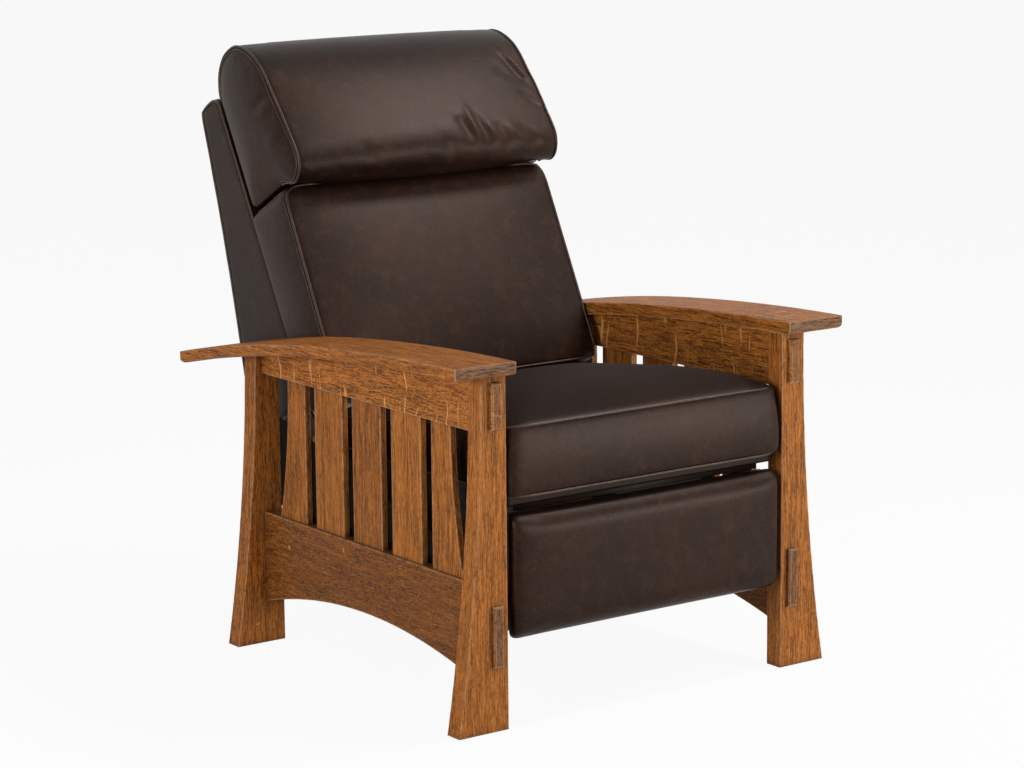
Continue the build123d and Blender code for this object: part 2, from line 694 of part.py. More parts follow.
# Mechanism carried by the frame
def mechanism_plate():
    """Pressed steel side plate on both stretchers: it carries the seat, the drive tube and the hinge."""
    with BuildPart() as plate:
        with BuildSketch(SIDE.offset(plate_layer)) as outline:
            with BuildLine():
                Polyline(
                    (DRIVE_Y - PLATE_LOBE, DRIVE_Z - PLATE_LOBE),
                    (FRONT_STRETCHER_Y - PLATE_RELIEF, DRIVE_Z - PLATE_LOBE),
                    (FRONT_STRETCHER_Y - PLATE_RELIEF, front_stretcher_top),
                    (front_stretcher_rear + PLATE_RELIEF, front_stretcher_top),
                    (front_stretcher_rear + PLATE_RELIEF, PLATE_BOTTOM),
                    (HINGE_Y + HINGE_LOBE_REACH, PLATE_BOTTOM),
                    (rear_stretcher_y - FOOT_MARGIN, rear_stretcher_top),
                    (rear_stretcher_y + REAR_STRETCHER_THICK, rear_stretcher_top),
                    (HINGE_Y + HINGE_LOBE_REACH, HINGE_Z - HINGE_LOBE),
                    (HINGE_Y + HINGE_LOBE_REACH, HINGE_Z + HINGE_LOBE),
                    (HINGE_Y - HINGE_LOBE, HINGE_Z + HINGE_LOBE),
                    (HINGE_Y - HINGE_LOBE, SEAT_LEVEL),
                    (DRIVE_Y - PLATE_LOBE, SEAT_LEVEL),
                    close=True,
                )
            make_face()
            fillet(outline.vertices(), PLATE_CORNER)
        extrude(amount=LINK_THICK)
        flange_y = (DRIVE_Y - PLATE_LOBE + PLATE_CORNER, SEAT_REAR - PLATE_CORNER)
        block((flange_inner, plate_outer), flange_y, (SEAT_LEVEL - FLANGE_THICK, SEAT_LEVEL))
        front_foot_y = (FRONT_STRETCHER_Y, front_stretcher_rear)
        front_foot_z = (front_stretcher_top, front_stretcher_top + FLANGE_THICK)
        block((flange_inner, plate_outer), front_foot_y, front_foot_z)
        rear_foot_front = rear_stretcher_y - PLATE_CORNER
        rear_foot_y = (rear_foot_front, rear_foot_front + REAR_STRETCHER_THICK)
        rear_foot_z = (rear_stretcher_top, rear_stretcher_top + FLANGE_THICK)
        block((flange_inner, plate_outer), rear_foot_y, rear_foot_z)
        hole(drive_pin, JOURNAL_RADIUS + RUN_FIT, (plate_layer, plate_outer))
        hole(hinge_pin, BOLT_RADIUS + RUN_FIT, (plate_layer, plate_outer))
        half_slot = RIVET_RADIUS + GUIDE_PLAY
        shares = [step / (GUIDE_POINTS - 1) for step in range(GUIDE_POINTS)]
        with BuildSketch(SIDE.offset(plate_layer)):
            with BuildLine():
                Spline(*[guide_place(share, half_slot) for share in shares])
                Spline(*[guide_place(share, -half_slot) for share in shares])
                for share, end_reach in ((0, -half_slot), (1, half_slot)):
                    ThreePointArc(
                        guide_place(share, half_slot),
                        guide_end(share, end_reach),
                        guide_place(share, -half_slot),
                    )
            make_face()
        extrude(amount=LINK_THICK, mode=Mode.SUBTRACT)
        for x, y, z_range in flange_holes():
            upright(x, y, SCREW_RADIUS + JOINERY_FIT, z_range, mode=Mode.SUBTRACT)
    return plate


def flange_holes():
    """Screw holes of a plate's flanges: x, y and the range of heights that they cut."""
    around_front = (front_stretcher_top - FLANGE_THICK, front_stretcher_top + 2 * FLANGE_THICK)
    around_rear = (rear_stretcher_top - FLANGE_THICK, rear_stretcher_top + 2 * FLANGE_THICK)
    around_top = (SEAT_LEVEL - 2 * FLANGE_THICK, SEAT_LEVEL + FLANGE_THICK)
    holes = [(foot_screw_x, front_screw_y, around_front), (foot_screw_x, rear_screw_y, around_rear)]
    return holes + [(top_screw_x, y, around_top) for y in SEAT_SCREW_PLACES]


def plate_screws():
    """Screws down through the feet into the stretchers and up through the top flange into the seat."""
    with BuildPart() as screws:
        for y, top in ((front_screw_y, front_stretcher_top), (rear_screw_y, rear_stretcher_top)):
            seat = top + FLANGE_THICK
            upright(foot_screw_x, y, SCREW_HEAD_RADIUS, (seat, seat + SCREW_HEAD_THICK))
            upright(foot_screw_x, y, SCREW_RADIUS, (seat - SCREW_LENGTH, seat))
        for y in SEAT_SCREW_PLACES:
            seat = SEAT_LEVEL - FLANGE_THICK
            upright(top_screw_x, y, SCREW_HEAD_RADIUS, (seat - SCREW_HEAD_THICK, seat))
            upright(top_screw_x, y, SCREW_RADIUS, (seat, seat + SCREW_LENGTH))
    return screws


def pivot_bolt():
    """Hinge bolt of the back, its head outside the back's bracket."""
    with BuildPart() as bolt:
        pin(hinge_pin, BOLT_HEAD_RADIUS, (slab_inner + SLIDE_GAP, bolt_head_outer))
        fillet(bolt.edges().sort_by(Axis.X)[-1], BOLT_HEAD_EASE)
        pin(hinge_pin, BOLT_RADIUS, (nut_inner - BOLT_END, slab_inner + SLIDE_GAP))
    return bolt


def pivot_washers():
    """Spacing washer between plate and bracket, and the spring washer under the wing nut."""
    with BuildPart() as washers:
        pin(hinge_pin, WASHER_RADIUS, (plate_outer, bracket_layer - SLIDE_GAP))
        pin(hinge_pin, WASHER_RADIUS, (nut_outer, plate_layer))
        hole(hinge_pin, BOLT_RADIUS + RUN_FIT, (nut_outer, bracket_layer))
    return washers


def pivot_wing_nut():
    """Wing nut that sets how hard the back is to push."""
    with BuildPart() as nut:
        wing_y = (HINGE_Y - WING_THICK / 2, HINGE_Y + WING_THICK / 2)
        wing_z = (HINGE_Z - WING_SPAN / 2, HINGE_Z + WING_SPAN / 2)
        block((nut_inner - BOLT_END, nut_outer - BOLT_END), wing_y, wing_z)
        tips = nut.edges().filter_by(Axis.Y).sort_by(Axis.X)[:2]
        fillet(tips, WING_ROUND)
        pin(hinge_pin, NUT_RADIUS, (nut_inner, nut_outer))
        hole(hinge_pin, BOLT_RADIUS + RUN_FIT, (nut_inner - BOLT_END, nut_outer))
    return nut


# Seat
def seat_front_rail():
    """Front rail of the seat frame."""
    with BuildPart() as rail:
        y_range = (SEAT_FRONT, SEAT_FRONT + SEAT_CROSS_RAIL_DEPTH)
        block((-SEAT_HALF, SEAT_HALF), y_range, (SEAT_LEVEL, seat_top))
    return rail


def seat_rear_rail():
    """Rear rail of the seat frame."""
    with BuildPart() as rail:
        y_range = (SEAT_REAR - SEAT_CROSS_RAIL_DEPTH, SEAT_REAR)
        block((-SEAT_HALF, SEAT_HALF), y_range, (SEAT_LEVEL, seat_top))
    return rail


def seat_side_rail():
    """Side rail of the seat frame, screwed to the mechanism plate's top flange."""
    with BuildPart() as rail:
        y_range = (SEAT_FRONT + SEAT_CROSS_RAIL_DEPTH, SEAT_REAR - SEAT_CROSS_RAIL_DEPTH)
        block((SEAT_HALF - SEAT_SIDE_RAIL_WIDTH, SEAT_HALF), y_range, (SEAT_LEVEL, seat_top))
        for y in SEAT_SCREW_PLACES:
            z_range = (SEAT_LEVEL - OVERRUN, SEAT_LEVEL - FLANGE_THICK + SCREW_LENGTH + JOINERY_FIT)
            upright(top_screw_x, y, SCREW_RADIUS + RUN_FIT, z_range, mode=Mode.SUBTRACT)
    return rail


def seat_webbing():
    """Sheet of webbing across the seat frame."""
    with BuildPart() as web:
        block((-SEAT_HALF, SEAT_HALF), (SEAT_FRONT, SEAT_REAR), (seat_top, web_top))
    return web


def seat_cushion():
    """Boxed cushion with a crown, its front corners drawn back."""
    with BuildPart() as cushion:
        for across_share, crown_share in CUSHION_SHARES:
            front = CUSHION_FRONT + CUSHION_DRAW * (1 - crown_share)
            with BuildSketch(SIDE.offset(cushion_half * across_share)):
                with BuildLine():
                    ThreePointArc(
                        (front, web_top),
                        (front - CUSHION_BULGE, web_top + CUSHION_BOX / 2),
                        (front, web_top + CUSHION_BOX),
                    )
                    ThreePointArc(
                        (front, web_top + CUSHION_BOX),
                        (CUSHION_CROWN_Y, web_top + CUSHION_BOX + CUSHION_CROWN * crown_share),
                        (CUSHION_REAR, web_top + CUSHION_REAR_BOX),
                    )
                    Polyline(
                        (CUSHION_REAR, web_top + CUSHION_REAR_BOX),
                        (CUSHION_REAR, web_top),
                        (front, web_top),
                    )
                make_face()
        loft()
    return cushion


# Reclining back
def back_block(x_range, out_range, up_range):
    """Plain block square to the back, between pairs of faces."""
    with BuildSketch(BACK.offset(-x_range[0])) as outline:
        with Locations((sum(out_range) / 2, sum(up_range) / 2)):
            Rectangle(out_range[1] - out_range[0], up_range[1] - up_range[0])
    extrude(outline.sketch, amount=x_range[0] - x_range[1])


def rear_curve(depth):
    """Hollow rear edge of the back, moved forward by depth, for a BuildLine block; drawn from the top."""
    return SagittaArc(
        (depth - SLAB_TOP_DEPTH, SLAB_REAR_HEIGHT),
        (depth - SLAB_FOOT_DEPTH, SLAB_FOOT_RISE),
        SLAB_HOLLOW,
    )


def back_side_panel():
    """Side board of the back frame, with pilot holes for the hinge bracket."""
    with BuildPart() as panel:
        with BuildSketch(BACK.offset(-slab_inner)):
            with BuildLine():
                rear = rear_curve(OUTER_PANEL_DEPTH)
                Polyline(
                    rear @ 1,
                    (0, 0),
                    (0, SLAB_HEIGHT),
                    (-SLAB_TOP_RUN, SLAB_HEIGHT + SLAB_TOP_RISE),
                    rear @ 0,
                )
            make_face()
        extrude(amount=-SLAB_THICK)
        for place in boss_places:
            x_range = (slab_inner - OVERRUN, bracket_layer + SCREW_LENGTH + JOINERY_FIT)
            pin(place, SCREW_RADIUS + RUN_FIT, x_range, mode=Mode.SUBTRACT)
    return panel


def outer_back_panel():
    """Hollowed board that closes the rear of the back."""
    with BuildPart() as panel:
        with BuildSketch(BACK):
            with BuildLine():
                outer = rear_curve(0)
                inner = rear_curve(OUTER_PANEL_DEPTH)
                Line(outer @ 0, inner @ 0)
                Line(outer @ 1, inner @ 1)
            make_face()
        extrude(amount=slab_outer, both=True)
    return panel


def back_rail(out, depth, up, height):
    """Cross rail between the side panels; out is the distance of its front behind the front line."""
    with BuildPart() as rail:
        back_block((-slab_inner, slab_inner), (-out - depth, -out), (up, up + height))
    return rail


def back_webbing():
    """Sheet of webbing over the front of the top and lumbar rails."""
    with BuildPart() as web:
        up_range = (LUMBAR_RAIL_UP, TOP_RAIL_UP + TOP_RAIL_HEIGHT)
        back_block((-slab_inner, slab_inner), (-WEB_THICK, 0), up_range)
    return web


def back_cushion():
    """Lower back cushion with a crown and a rounded front top edge."""
    corner_up = BACK_CUSHION_TOP - BACK_CUSHION_CORNER
    middle_up = (BACK_CUSHION_UP + corner_up) / 2
    middle_out = (BACK_CUSHION_FOOT_DEPTH + BACK_CUSHION_DEPTH) / 2
    with BuildPart() as cushion:
        for across_share, crown_share in BACK_CUSHION_SHARES:
            crown = BACK_CUSHION_CROWN * crown_share
            with BuildSketch(BACK.offset(-back_cushion_half * across_share)):
                with BuildLine():
                    ThreePointArc(
                        (BACK_CUSHION_FOOT_DEPTH, BACK_CUSHION_UP),
                        (middle_out + crown, middle_up),
                        (BACK_CUSHION_DEPTH, corner_up),
                    )
                    TangentArc(
                        (BACK_CUSHION_DEPTH - BACK_CUSHION_CORNER, BACK_CUSHION_TOP),
                        (BACK_CUSHION_DEPTH, corner_up),
                        tangent=(1, 0),
                    )
                    Polyline(
                        (BACK_CUSHION_DEPTH - BACK_CUSHION_CORNER, BACK_CUSHION_TOP),
                        (0, BACK_CUSHION_TOP),
                        (0, BACK_CUSHION_UP),
                        (BACK_CUSHION_FOOT_DEPTH, BACK_CUSHION_UP),
                    )
                make_face()
        loft()
    return cushion


def headrest_pillow():
    """Rolled pillow over the top of the back, with a lip that hangs over the cushion below."""
    with BuildPart() as pillow:
        for across_share, crown_share in PILLOW_SHARES:
            rear = PILLOW_SIDE_DRAW * (1 - crown_share)
            crown = PILLOW_CROWN * crown_share
            top = (PILLOW_TOP_DEPTH, PILLOW_TOP + PILLOW_LIFT * crown_share)
            brow = (PILLOW_BROW_DEPTH + crown, PILLOW_BROW_UP)
            nose = (PILLOW_NOSE_DEPTH + crown, PILLOW_NOSE_UP)
            lip = (PILLOW_LIP_DEPTH + crown, PILLOW_LIP_UP)
            with BuildSketch(BACK.offset(-pillow_half * across_share)):
                with BuildLine():
                    SagittaArc((rear, PILLOW_REAR_TOP), top, PILLOW_TOP_BOW)
                    SagittaArc(top, brow, PILLOW_BROW_BOW)
                    SagittaArc(brow, nose, PILLOW_NOSE_BOW)
                    SagittaArc(nose, lip, PILLOW_LIP_BOW)
                    Polyline(
                        lip,
                        (PILLOW_LIP_INNER_DEPTH, PILLOW_FOOT),
                        (rear, PILLOW_FOOT),
                        (rear, PILLOW_REAR_TOP),
                    )
                make_face()
        loft()
    return pillow


def back_bracket():
    """Steel bracket from the hinge to the back's side panel, with the pin that drives the rod."""
    with BuildPart() as bracket:
        with BuildSketch(SIDE.offset(bracket_layer)) as outline:
            with BuildSketch(mode=Mode.PRIVATE) as lobes:
                with Locations(hinge_pin):
                    Circle(HINGE_BOSS_RADIUS)
                with Locations(back_crank_pin):
                    Circle(LINK_WIDTH / 2)
                with Locations(*boss_places):
                    Circle(BOSS_RADIUS)
            make_hull(lobes.sketch.edges())
        extrude(amount=BACK_BRACKET_THICK)
        pin(back_crank_pin, RIVET_RADIUS, (slab_inner, rod_outer))
        hole(hinge_pin, BOLT_RADIUS + RUN_FIT, (bracket_layer, slab_inner))
        for place in boss_places:
            hole(place, SCREW_RADIUS + JOINERY_FIT, (bracket_layer, slab_inner))
    return bracket


def back_bracket_screws():
    """Screws from the inside through the bracket into the side panel."""
    with BuildPart() as screws:
        for place in boss_places:
            pin(place, SCREW_HEAD_RADIUS, (bracket_layer - SCREW_HEAD_THICK, bracket_layer))
            pin(place, SCREW_RADIUS, (bracket_layer, bracket_layer + SCREW_LENGTH))
    return screws


# Linkage
def torque_tube():
    """Cross tube that turns both drive arms together, with a journal in each plate."""
    with BuildPart() as tube:
        pin(drive_pin, TUBE_RADIUS, (-outer_layer, outer_layer))
        pin(drive_pin, JOURNAL_RADIUS, (-crank_outer, crank_outer))
        hole(drive_pin, TUBE_BORE_RADIUS, (-crank_outer, crank_outer))
    return tube


def drive_arm():
    """First link, fixed on the torque tube, with the rivets for the guide and middle links."""
    with BuildPart() as arm:
        link(outer_layer, drive_pin, first_top)
        hole(drive_pin, JOURNAL_RADIUS + RUN_FIT, (outer_layer, outer_layer + LINK_THICK))
        for place in (first_cross, first_top):
            pin(place, RIVET_RADIUS, (inner_layer, outer_layer))
    return arm


def drive_crank():
    """Crank on the torque tube's journal; the rod from the back pushes it."""
    with BuildPart() as crank:
        with BuildSketch(SIDE.offset(crank_layer)) as outline:
            with BuildSketch(mode=Mode.PRIVATE) as lobes:
                with Locations(drive_pin):
                    Circle(JOURNAL_RADIUS + CRANK_WALL)
                with Locations(crank_pin):
                    Circle(RIVET_RADIUS + CRANK_WALL)
            make_hull(lobes.sketch.edges())
        extrude(amount=CRANK_THICK)
        hole(drive_pin, JOURNAL_RADIUS + RUN_FIT, (crank_layer, crank_outer))
        pin(crank_pin, RIVET_RADIUS, (crank_outer, rod_outer))
    return crank


def drive_rod():
    """Rod from the back's bracket to the crank, with an upright slot round the crank pin."""
    slot_middle = (crank_pin[0], crank_pin[1] + ROD_RISE / 2)
    with BuildPart() as rod:
        with BuildSketch(SIDE.offset(rod_layer)):
            SlotCenterPoint(between(crank_pin, back_crank_pin), back_crank_pin, ROD_WIDTH)
            with Locations(slot_middle):
                Circle(ROD_EYE_RADIUS)
        extrude(amount=ROD_THICK)
        with BuildSketch(SIDE.offset(rod_layer)):
            with Locations(slot_middle):
                SlotCenterToCenter(ROD_RISE, 2 * (RIVET_RADIUS + ROD_PLAY), rotation=90)
        extrude(amount=ROD_THICK, mode=Mode.SUBTRACT)
        hole(back_crank_pin, RIVET_RADIUS + RUN_FIT, (rod_layer, rod_outer))
    return rod


def guide_link():
    """Second link, crossing the drive arm; its upper pin runs in the plate's slot."""
    with BuildPart() as piece:
        link(inner_layer, guide_foot, guide_top)
        hole(first_cross, RIVET_RADIUS + RUN_FIT, (inner_layer, inner_layer + LINK_THICK))
        pin(guide_foot, RIVET_RADIUS, (inner_layer + LINK_THICK, outer_layer + LINK_THICK))
        pin(guide_top, RIVET_RADIUS, (inner_layer + LINK_THICK, plate_outer))
    return piece


def middle_link():
    """Link from the drive arm's end down to the carrier link's foot."""
    with BuildPart() as piece:
        link(inner_layer, first_top, second_foot)
        hole(first_top, RIVET_RADIUS + RUN_FIT, (inner_layer, inner_layer + LINK_THICK))
        for place in (second_cross, second_foot):
            pin(place, RIVET_RADIUS, (inner_layer + LINK_THICK, outer_layer + LINK_THICK))
        pin(control_foot, RIVET_RADIUS, (control_layer, inner_layer))
    return piece


def short_link():
    """Half-length link that ties the guide link's foot to the middle of the middle link."""
    with BuildPart() as piece:
        link(outer_layer, guide_foot, second_cross)
        hole(second_cross, RIVET_RADIUS + RUN_FIT, (outer_layer, outer_layer + LINK_THICK))
        hole(guide_foot, RIVET_RADIUS + SHORT_PLAY, (outer_layer, outer_layer + LINK_THICK))
    return piece


def carrier_link():
    """Link that carries the footrest's bracket on its upper rivet."""
    with BuildPart() as piece:
        link(outer_layer, second_foot, third_top)
        hole(second_foot, RIVET_RADIUS + RUN_FIT, (outer_layer, outer_layer + LINK_THICK))
        pin(third_top, RIVET_RADIUS, (inner_layer, outer_layer))
    return piece


def control_link():
    """Link that turns the footrest's bracket as it comes out."""
    with BuildPart() as piece:
        link(control_layer, control_foot, control_top)
        hole(control_foot, RIVET_RADIUS + RUN_FIT, (control_layer, control_layer + LINK_THICK))
        hole(control_top, RIVET_RADIUS + CONTROL_PLAY, (control_layer, control_layer + LINK_THICK))
    return piece


# Footrest
def footrest_bracket():
    """Angle bracket on the footrest board, hung on the carrier and control links."""
    board_top = PAD_BOTTOM + PAD_HEIGHT - BOARD_MARGIN
    flange_y = (board_rear, board_rear + BRACKET_FLANGE_THICK)
    with BuildPart() as bracket:
        with BuildSketch(SIDE.offset(inner_layer)) as outline:
            with BuildSketch(mode=Mode.PRIVATE) as lobes:
                with Locations(third_top, control_top):
                    Circle(BRACKET_LOBE)
                with Locations((sum(flange_y) / 2, (BRACKET_FOOT + board_top) / 2)):
                    Rectangle(BRACKET_FLANGE_THICK, board_top - BRACKET_FOOT)
            make_hull(lobes.sketch.edges())
        extrude(amount=LINK_THICK)
        flange_x = (inner_layer - BRACKET_FLANGE_WIDTH, inner_layer + LINK_THICK)
        block(flange_x, flange_y, (BRACKET_FOOT, board_top))
        pin(control_top, RIVET_RADIUS, (control_layer, inner_layer))
        hole(third_top, RIVET_RADIUS + RUN_FIT, (inner_layer, inner_layer + LINK_THICK))
        for z in bracket_screw_heights:
            y_range = (board_rear - OVERRUN, board_rear + OVERRUN)
            lengthwise(bracket_screw_x, z, SCREW_RADIUS + JOINERY_FIT, y_range, mode=Mode.SUBTRACT)
    return bracket


def footrest_bracket_screws():
    """Screws from the rear through the bracket into the footrest board."""
    with BuildPart() as screws:
        seat = board_rear + BRACKET_FLANGE_THICK
        for z in bracket_screw_heights:
            lengthwise(bracket_screw_x, z, SCREW_HEAD_RADIUS, (seat, seat + SCREW_HEAD_THICK))
            lengthwise(bracket_screw_x, z, SCREW_RADIUS, (seat - SCREW_LENGTH, seat))
    return screws


def footrest_board():
    """Board behind the footrest pad."""
    with BuildPart() as board:
        z_range = (PAD_BOTTOM + BOARD_MARGIN, PAD_BOTTOM + PAD_HEIGHT - BOARD_MARGIN)
        block((-board_half, board_half), (PAD_REAR, board_rear), z_range)
        screw_end = board_rear + BRACKET_FLANGE_THICK - SCREW_LENGTH
        y_range = (screw_end - JOINERY_FIT, board_rear + OVERRUN)
        for x in (-bracket_screw_x, bracket_screw_x):
            for z in bracket_screw_heights:
                lengthwise(x, z, SCREW_RADIUS + RUN_FIT, y_range, mode=Mode.SUBTRACT)
    return board


def footrest_pad():
    """Upholstered footrest with a slight crown and rounded front edges."""
    top = PAD_BOTTOM + PAD_HEIGHT
    with BuildPart() as pad:
        for across_share, crown_share in PAD_SHARES:
            crown = PAD_CROWN * crown_share
            with BuildSketch(SIDE.offset(pad_half * across_share)):
                with BuildLine():
                    TangentArc(
                        (PAD_CORNER - PAD_FRONT, top),
                        (-PAD_FRONT, top - PAD_CORNER),
                        tangent=(-1, 0),
                    )
                    ThreePointArc(
                        (-PAD_FRONT, top - PAD_CORNER),
                        (-PAD_FRONT - PAD_FACE_BOW - crown, (PAD_BOTTOM + top) / 2),
                        (-PAD_FRONT, PAD_BOTTOM + PAD_CORNER),
                    )
                    TangentArc(
                        (PAD_CORNER - PAD_FRONT, PAD_BOTTOM),
                        (-PAD_FRONT, PAD_BOTTOM + PAD_CORNER),
                        tangent=(-1, 0),
                    )
                    Polyline(
                        (PAD_CORNER - PAD_FRONT, PAD_BOTTOM),
                        (PAD_REAR, PAD_BOTTOM),
                        (PAD_REAR, top),
                        (PAD_CORNER - PAD_FRONT, top),
                    )
                make_face()
        loft()
    return pad


# The oak frame
save_pair(front_leg(), "front_leg")
save_pair(rear_leg(), "rear_leg")
save_pair(armrest(), "armrest")
save_pair(upper_rail(), "upper_rail")
save_pair(lower_rail(), "lower_rail")
for number, (top_span, bottom_span) in enumerate(slat_spans(), start=1):
    save_pair(slat(top_span, bottom_span), f"side_slat_{number}")
save(front_stretcher(), "front_stretcher")
save(rear_stretcher(), "rear_stretcher")

# The seat
save(seat_front_rail(), "seat_front_rail")
save(seat_rear_rail(), "seat_rear_rail")
save_pair(seat_side_rail(), "seat_side_rail")
save(seat_webbing(), "seat_webbing")
save(seat_cushion(), "seat_cushion")

# The back
save_pair(back_side_panel(), "back_side_panel")
save(outer_back_panel(), "outer_back_panel")
save(back_rail(WEB_THICK, TOP_RAIL_DEPTH, TOP_RAIL_UP, TOP_RAIL_HEIGHT), "back_top_rail")
save(back_rail(WEB_THICK, LUMBAR_RAIL_DEPTH, LUMBAR_RAIL_UP, LUMBAR_RAIL_HEIGHT), "back_lumbar_rail")
save(back_rail(BOTTOM_RAIL_OUT, BOTTOM_RAIL_DEPTH, BOTTOM_RAIL_UP, BOTTOM_RAIL_HEIGHT), "back_bottom_rail")
save(back_webbing(), "back_webbing")
save(back_cushion(), "back_cushion")
save(headrest_pillow(), "headrest_pillow")
save_pair(back_bracket(), "back_bracket")
save_both(back_bracket_screws(), "back_bracket_screws")

# The mechanism
save_pair(mechanism_plate(), "mechanism_plate")
save_both(plate_screws(), "plate_screws")
save_both(pivot_bolt(), "pivot_bolts")
save_both(pivot_washers(), "pivot_washers")
save_both(pivot_wing_nut(), "pivot_wing_nuts")
save(torque_tube(), "torque_tube")
save_both(drive_arm(), "drive_arms")
save_both(drive_crank(), "drive_cranks")
save_both(drive_rod(), "drive_rods")
save_both(guide_link(), "guide_links")
save_both(middle_link(), "middle_links")
save_both(short_link(), "short_links")
save_both(carrier_link(), "carrier_links")
save_both(control_link(), "control_links")

# The footrest
save_both(footrest_bracket(), "footrest_brackets")
save_both(footrest_bracket_screws(), "footrest_bracket_screws")
save(footrest_board(), "footrest_board")
save(footrest_pad(), "footrest_pad")
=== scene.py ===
"""Looks of a reclining armchair in the mission style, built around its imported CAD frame.

Oak boards carry a grain of their own, and the padded pieces are inflated cloth with welted seams. Sizes are
in metres, in the frame of the CAD: +Z up, the front towards -Y, the sitter's left towards +X.
"""

import json
import logging
import math
from dataclasses import dataclass, field
from enum import Enum
from typing import Any, Callable, Iterable, Sequence

import bmesh
import bpy
import numpy as np
from mathutils import Matrix, Vector
from mathutils.bvhtree import BVHTree
from mathutils.kdtree import KDTree


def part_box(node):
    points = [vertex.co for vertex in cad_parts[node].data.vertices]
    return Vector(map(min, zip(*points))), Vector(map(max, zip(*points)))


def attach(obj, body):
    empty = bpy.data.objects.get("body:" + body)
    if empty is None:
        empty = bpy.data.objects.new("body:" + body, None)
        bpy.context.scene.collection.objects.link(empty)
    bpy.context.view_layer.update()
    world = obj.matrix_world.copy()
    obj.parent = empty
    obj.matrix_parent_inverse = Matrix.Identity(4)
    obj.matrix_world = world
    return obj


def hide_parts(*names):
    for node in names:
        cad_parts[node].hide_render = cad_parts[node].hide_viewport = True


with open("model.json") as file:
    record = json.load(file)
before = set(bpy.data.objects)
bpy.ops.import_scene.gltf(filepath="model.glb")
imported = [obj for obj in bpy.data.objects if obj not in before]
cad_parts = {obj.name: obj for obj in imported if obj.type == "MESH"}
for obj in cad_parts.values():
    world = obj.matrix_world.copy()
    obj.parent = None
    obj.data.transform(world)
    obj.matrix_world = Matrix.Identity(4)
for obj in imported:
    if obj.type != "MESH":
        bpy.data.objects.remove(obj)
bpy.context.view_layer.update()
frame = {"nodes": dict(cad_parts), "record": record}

log = logging.getLogger("armchair")

MM = 0.001
SETBACK = -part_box("front_leg_left")[0].y  # from the front of the front legs back to the origin
HINGE_Y = 0.600 - SETBACK
HINGE_Z = 0.360
BACK_RISE = 0.071  # foot of the back's front line above the hinge
BACK_LEAN = math.radians(29.0)
BACK_FOOT = np.array((0.0, HINGE_Y, HINGE_Z + BACK_RISE))
BACK_FACE = np.array((0.0, -math.cos(BACK_LEAN), math.sin(BACK_LEAN)))
SEAT_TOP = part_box("seat_webbing")[1].z
SIDES = ((-1.0, "right"), (1.0, "left"))
SPREAD = (-0.2, -0.1, 0.0, 0.1, 0.2)  # where a wide padded piece has rings between its ends
CORNER_STEPS = 7
OUTLINE_POINTS = 160
VOXEL = 0.006
SIM_FRAMES = 20
SEAM_STEP = 0.006

Pair = tuple[float, float]
Triple = tuple[float, float, float]
Colour = tuple[float, float, float, float]
Ring = list[Vector]


# Places
def from_back(x: float, out: float, up: float) -> Vector:
    """Place of a point given in the back's own plane.

    Args:
        x: Distance to the sitter's left of the middle.
        out: Distance forward of the front line of the back.
        up: Distance along that line from its foot.

    Returns:
        The point in the frame of the CAD.
    """
    return Vector((
        x,
        HINGE_Y - out * math.cos(BACK_LEAN) + up * math.sin(BACK_LEAN),
        HINGE_Z + BACK_RISE + out * math.sin(BACK_LEAN) + up * math.cos(BACK_LEAN),
    ))


def from_side(x: float, y: float, z: float) -> Vector:
    """Place of a point whose y runs back from the front of the front legs."""
    return Vector((x, y - SETBACK, z))


def arc(start: Pair, end: Pair, bow: float, steps: int = 8) -> list[Pair]:
    """Points along a shallow arc, without its end.

    Args:
        start: First point.
        end: Last point, which is left out.
        bow: Height of the arc to the left of its chord.
        steps: How many points to give.

    Returns:
        The points from the start on.
    """
    run, rise = end[0] - start[0], end[1] - start[1]
    reach = math.hypot(run, rise)
    points = []
    for step in range(steps):
        share = step / steps
        height = 4.0 * bow * share * (1.0 - share)
        points.append((
            start[0] + run * share - rise / reach * height,
            start[1] + rise * share + run / reach * height,
        ))
    return points


def rounded_rectangle(low: Pair, high: Pair, radii: Sequence[float]) -> list[Pair]:
    """Outline of a rectangle with rounded corners, evenly enough spaced to be lofted.

    Args:
        low: Lowest corner.
        high: Highest corner.
        radii: Radius at each corner, from the lowest one on, anticlockwise.

    Returns:
        The points, anticlockwise.
    """
    corners = ((*low, 180.0), (high[0], low[1], 270.0), (*high, 0.0), (low[0], high[1], 90.0))
    points: list[Pair] = []
    for (x, y, turn), radius in zip(corners, radii):
        cx = x + radius if x == low[0] else x - radius
        cy = y + radius if y == low[1] else y - radius
        for step in range(CORNER_STEPS + 1):
            angle = math.radians(turn + 90.0 * step / CORNER_STEPS)
            points.append((cx + radius * math.cos(angle), cy + radius * math.sin(angle)))
    return even(points, OUTLINE_POINTS)


def even(points: Sequence[Pair], count: int) -> list[Pair]:
    """Points at equal steps along a closed outline.

    Args:
        points: The outline.
        count: How many points to give.

    Returns:
        The new points, from the first one on.
    """
    line = np.array([*points, points[0]], float)
    steps = np.hypot(*np.diff(line, axis=0).T)
    along = np.concatenate([[0.0], np.cumsum(steps)])
    places = np.linspace(0.0, along[-1], count, endpoint=False)
    return list(zip(np.interp(places, along, line[:, 0]), np.interp(places, along, line[:, 1])))


def shrunk(outline: Sequence[Pair], middle: Pair, wide: float, tall: float | None = None) -> list[Pair]:
    """Outline scaled about a point.

    Args:
        outline: The outline.
        middle: The point that stays.
        wide: Scale along the first axis.
        tall: Scale along the second axis, the same as the first if not given.

    Returns:
        The scaled points.
    """
    rise = wide if tall is None else tall
    return [(middle[0] + (x - middle[0]) * wide, middle[1] + (y - middle[1]) * rise) for x, y in outline]


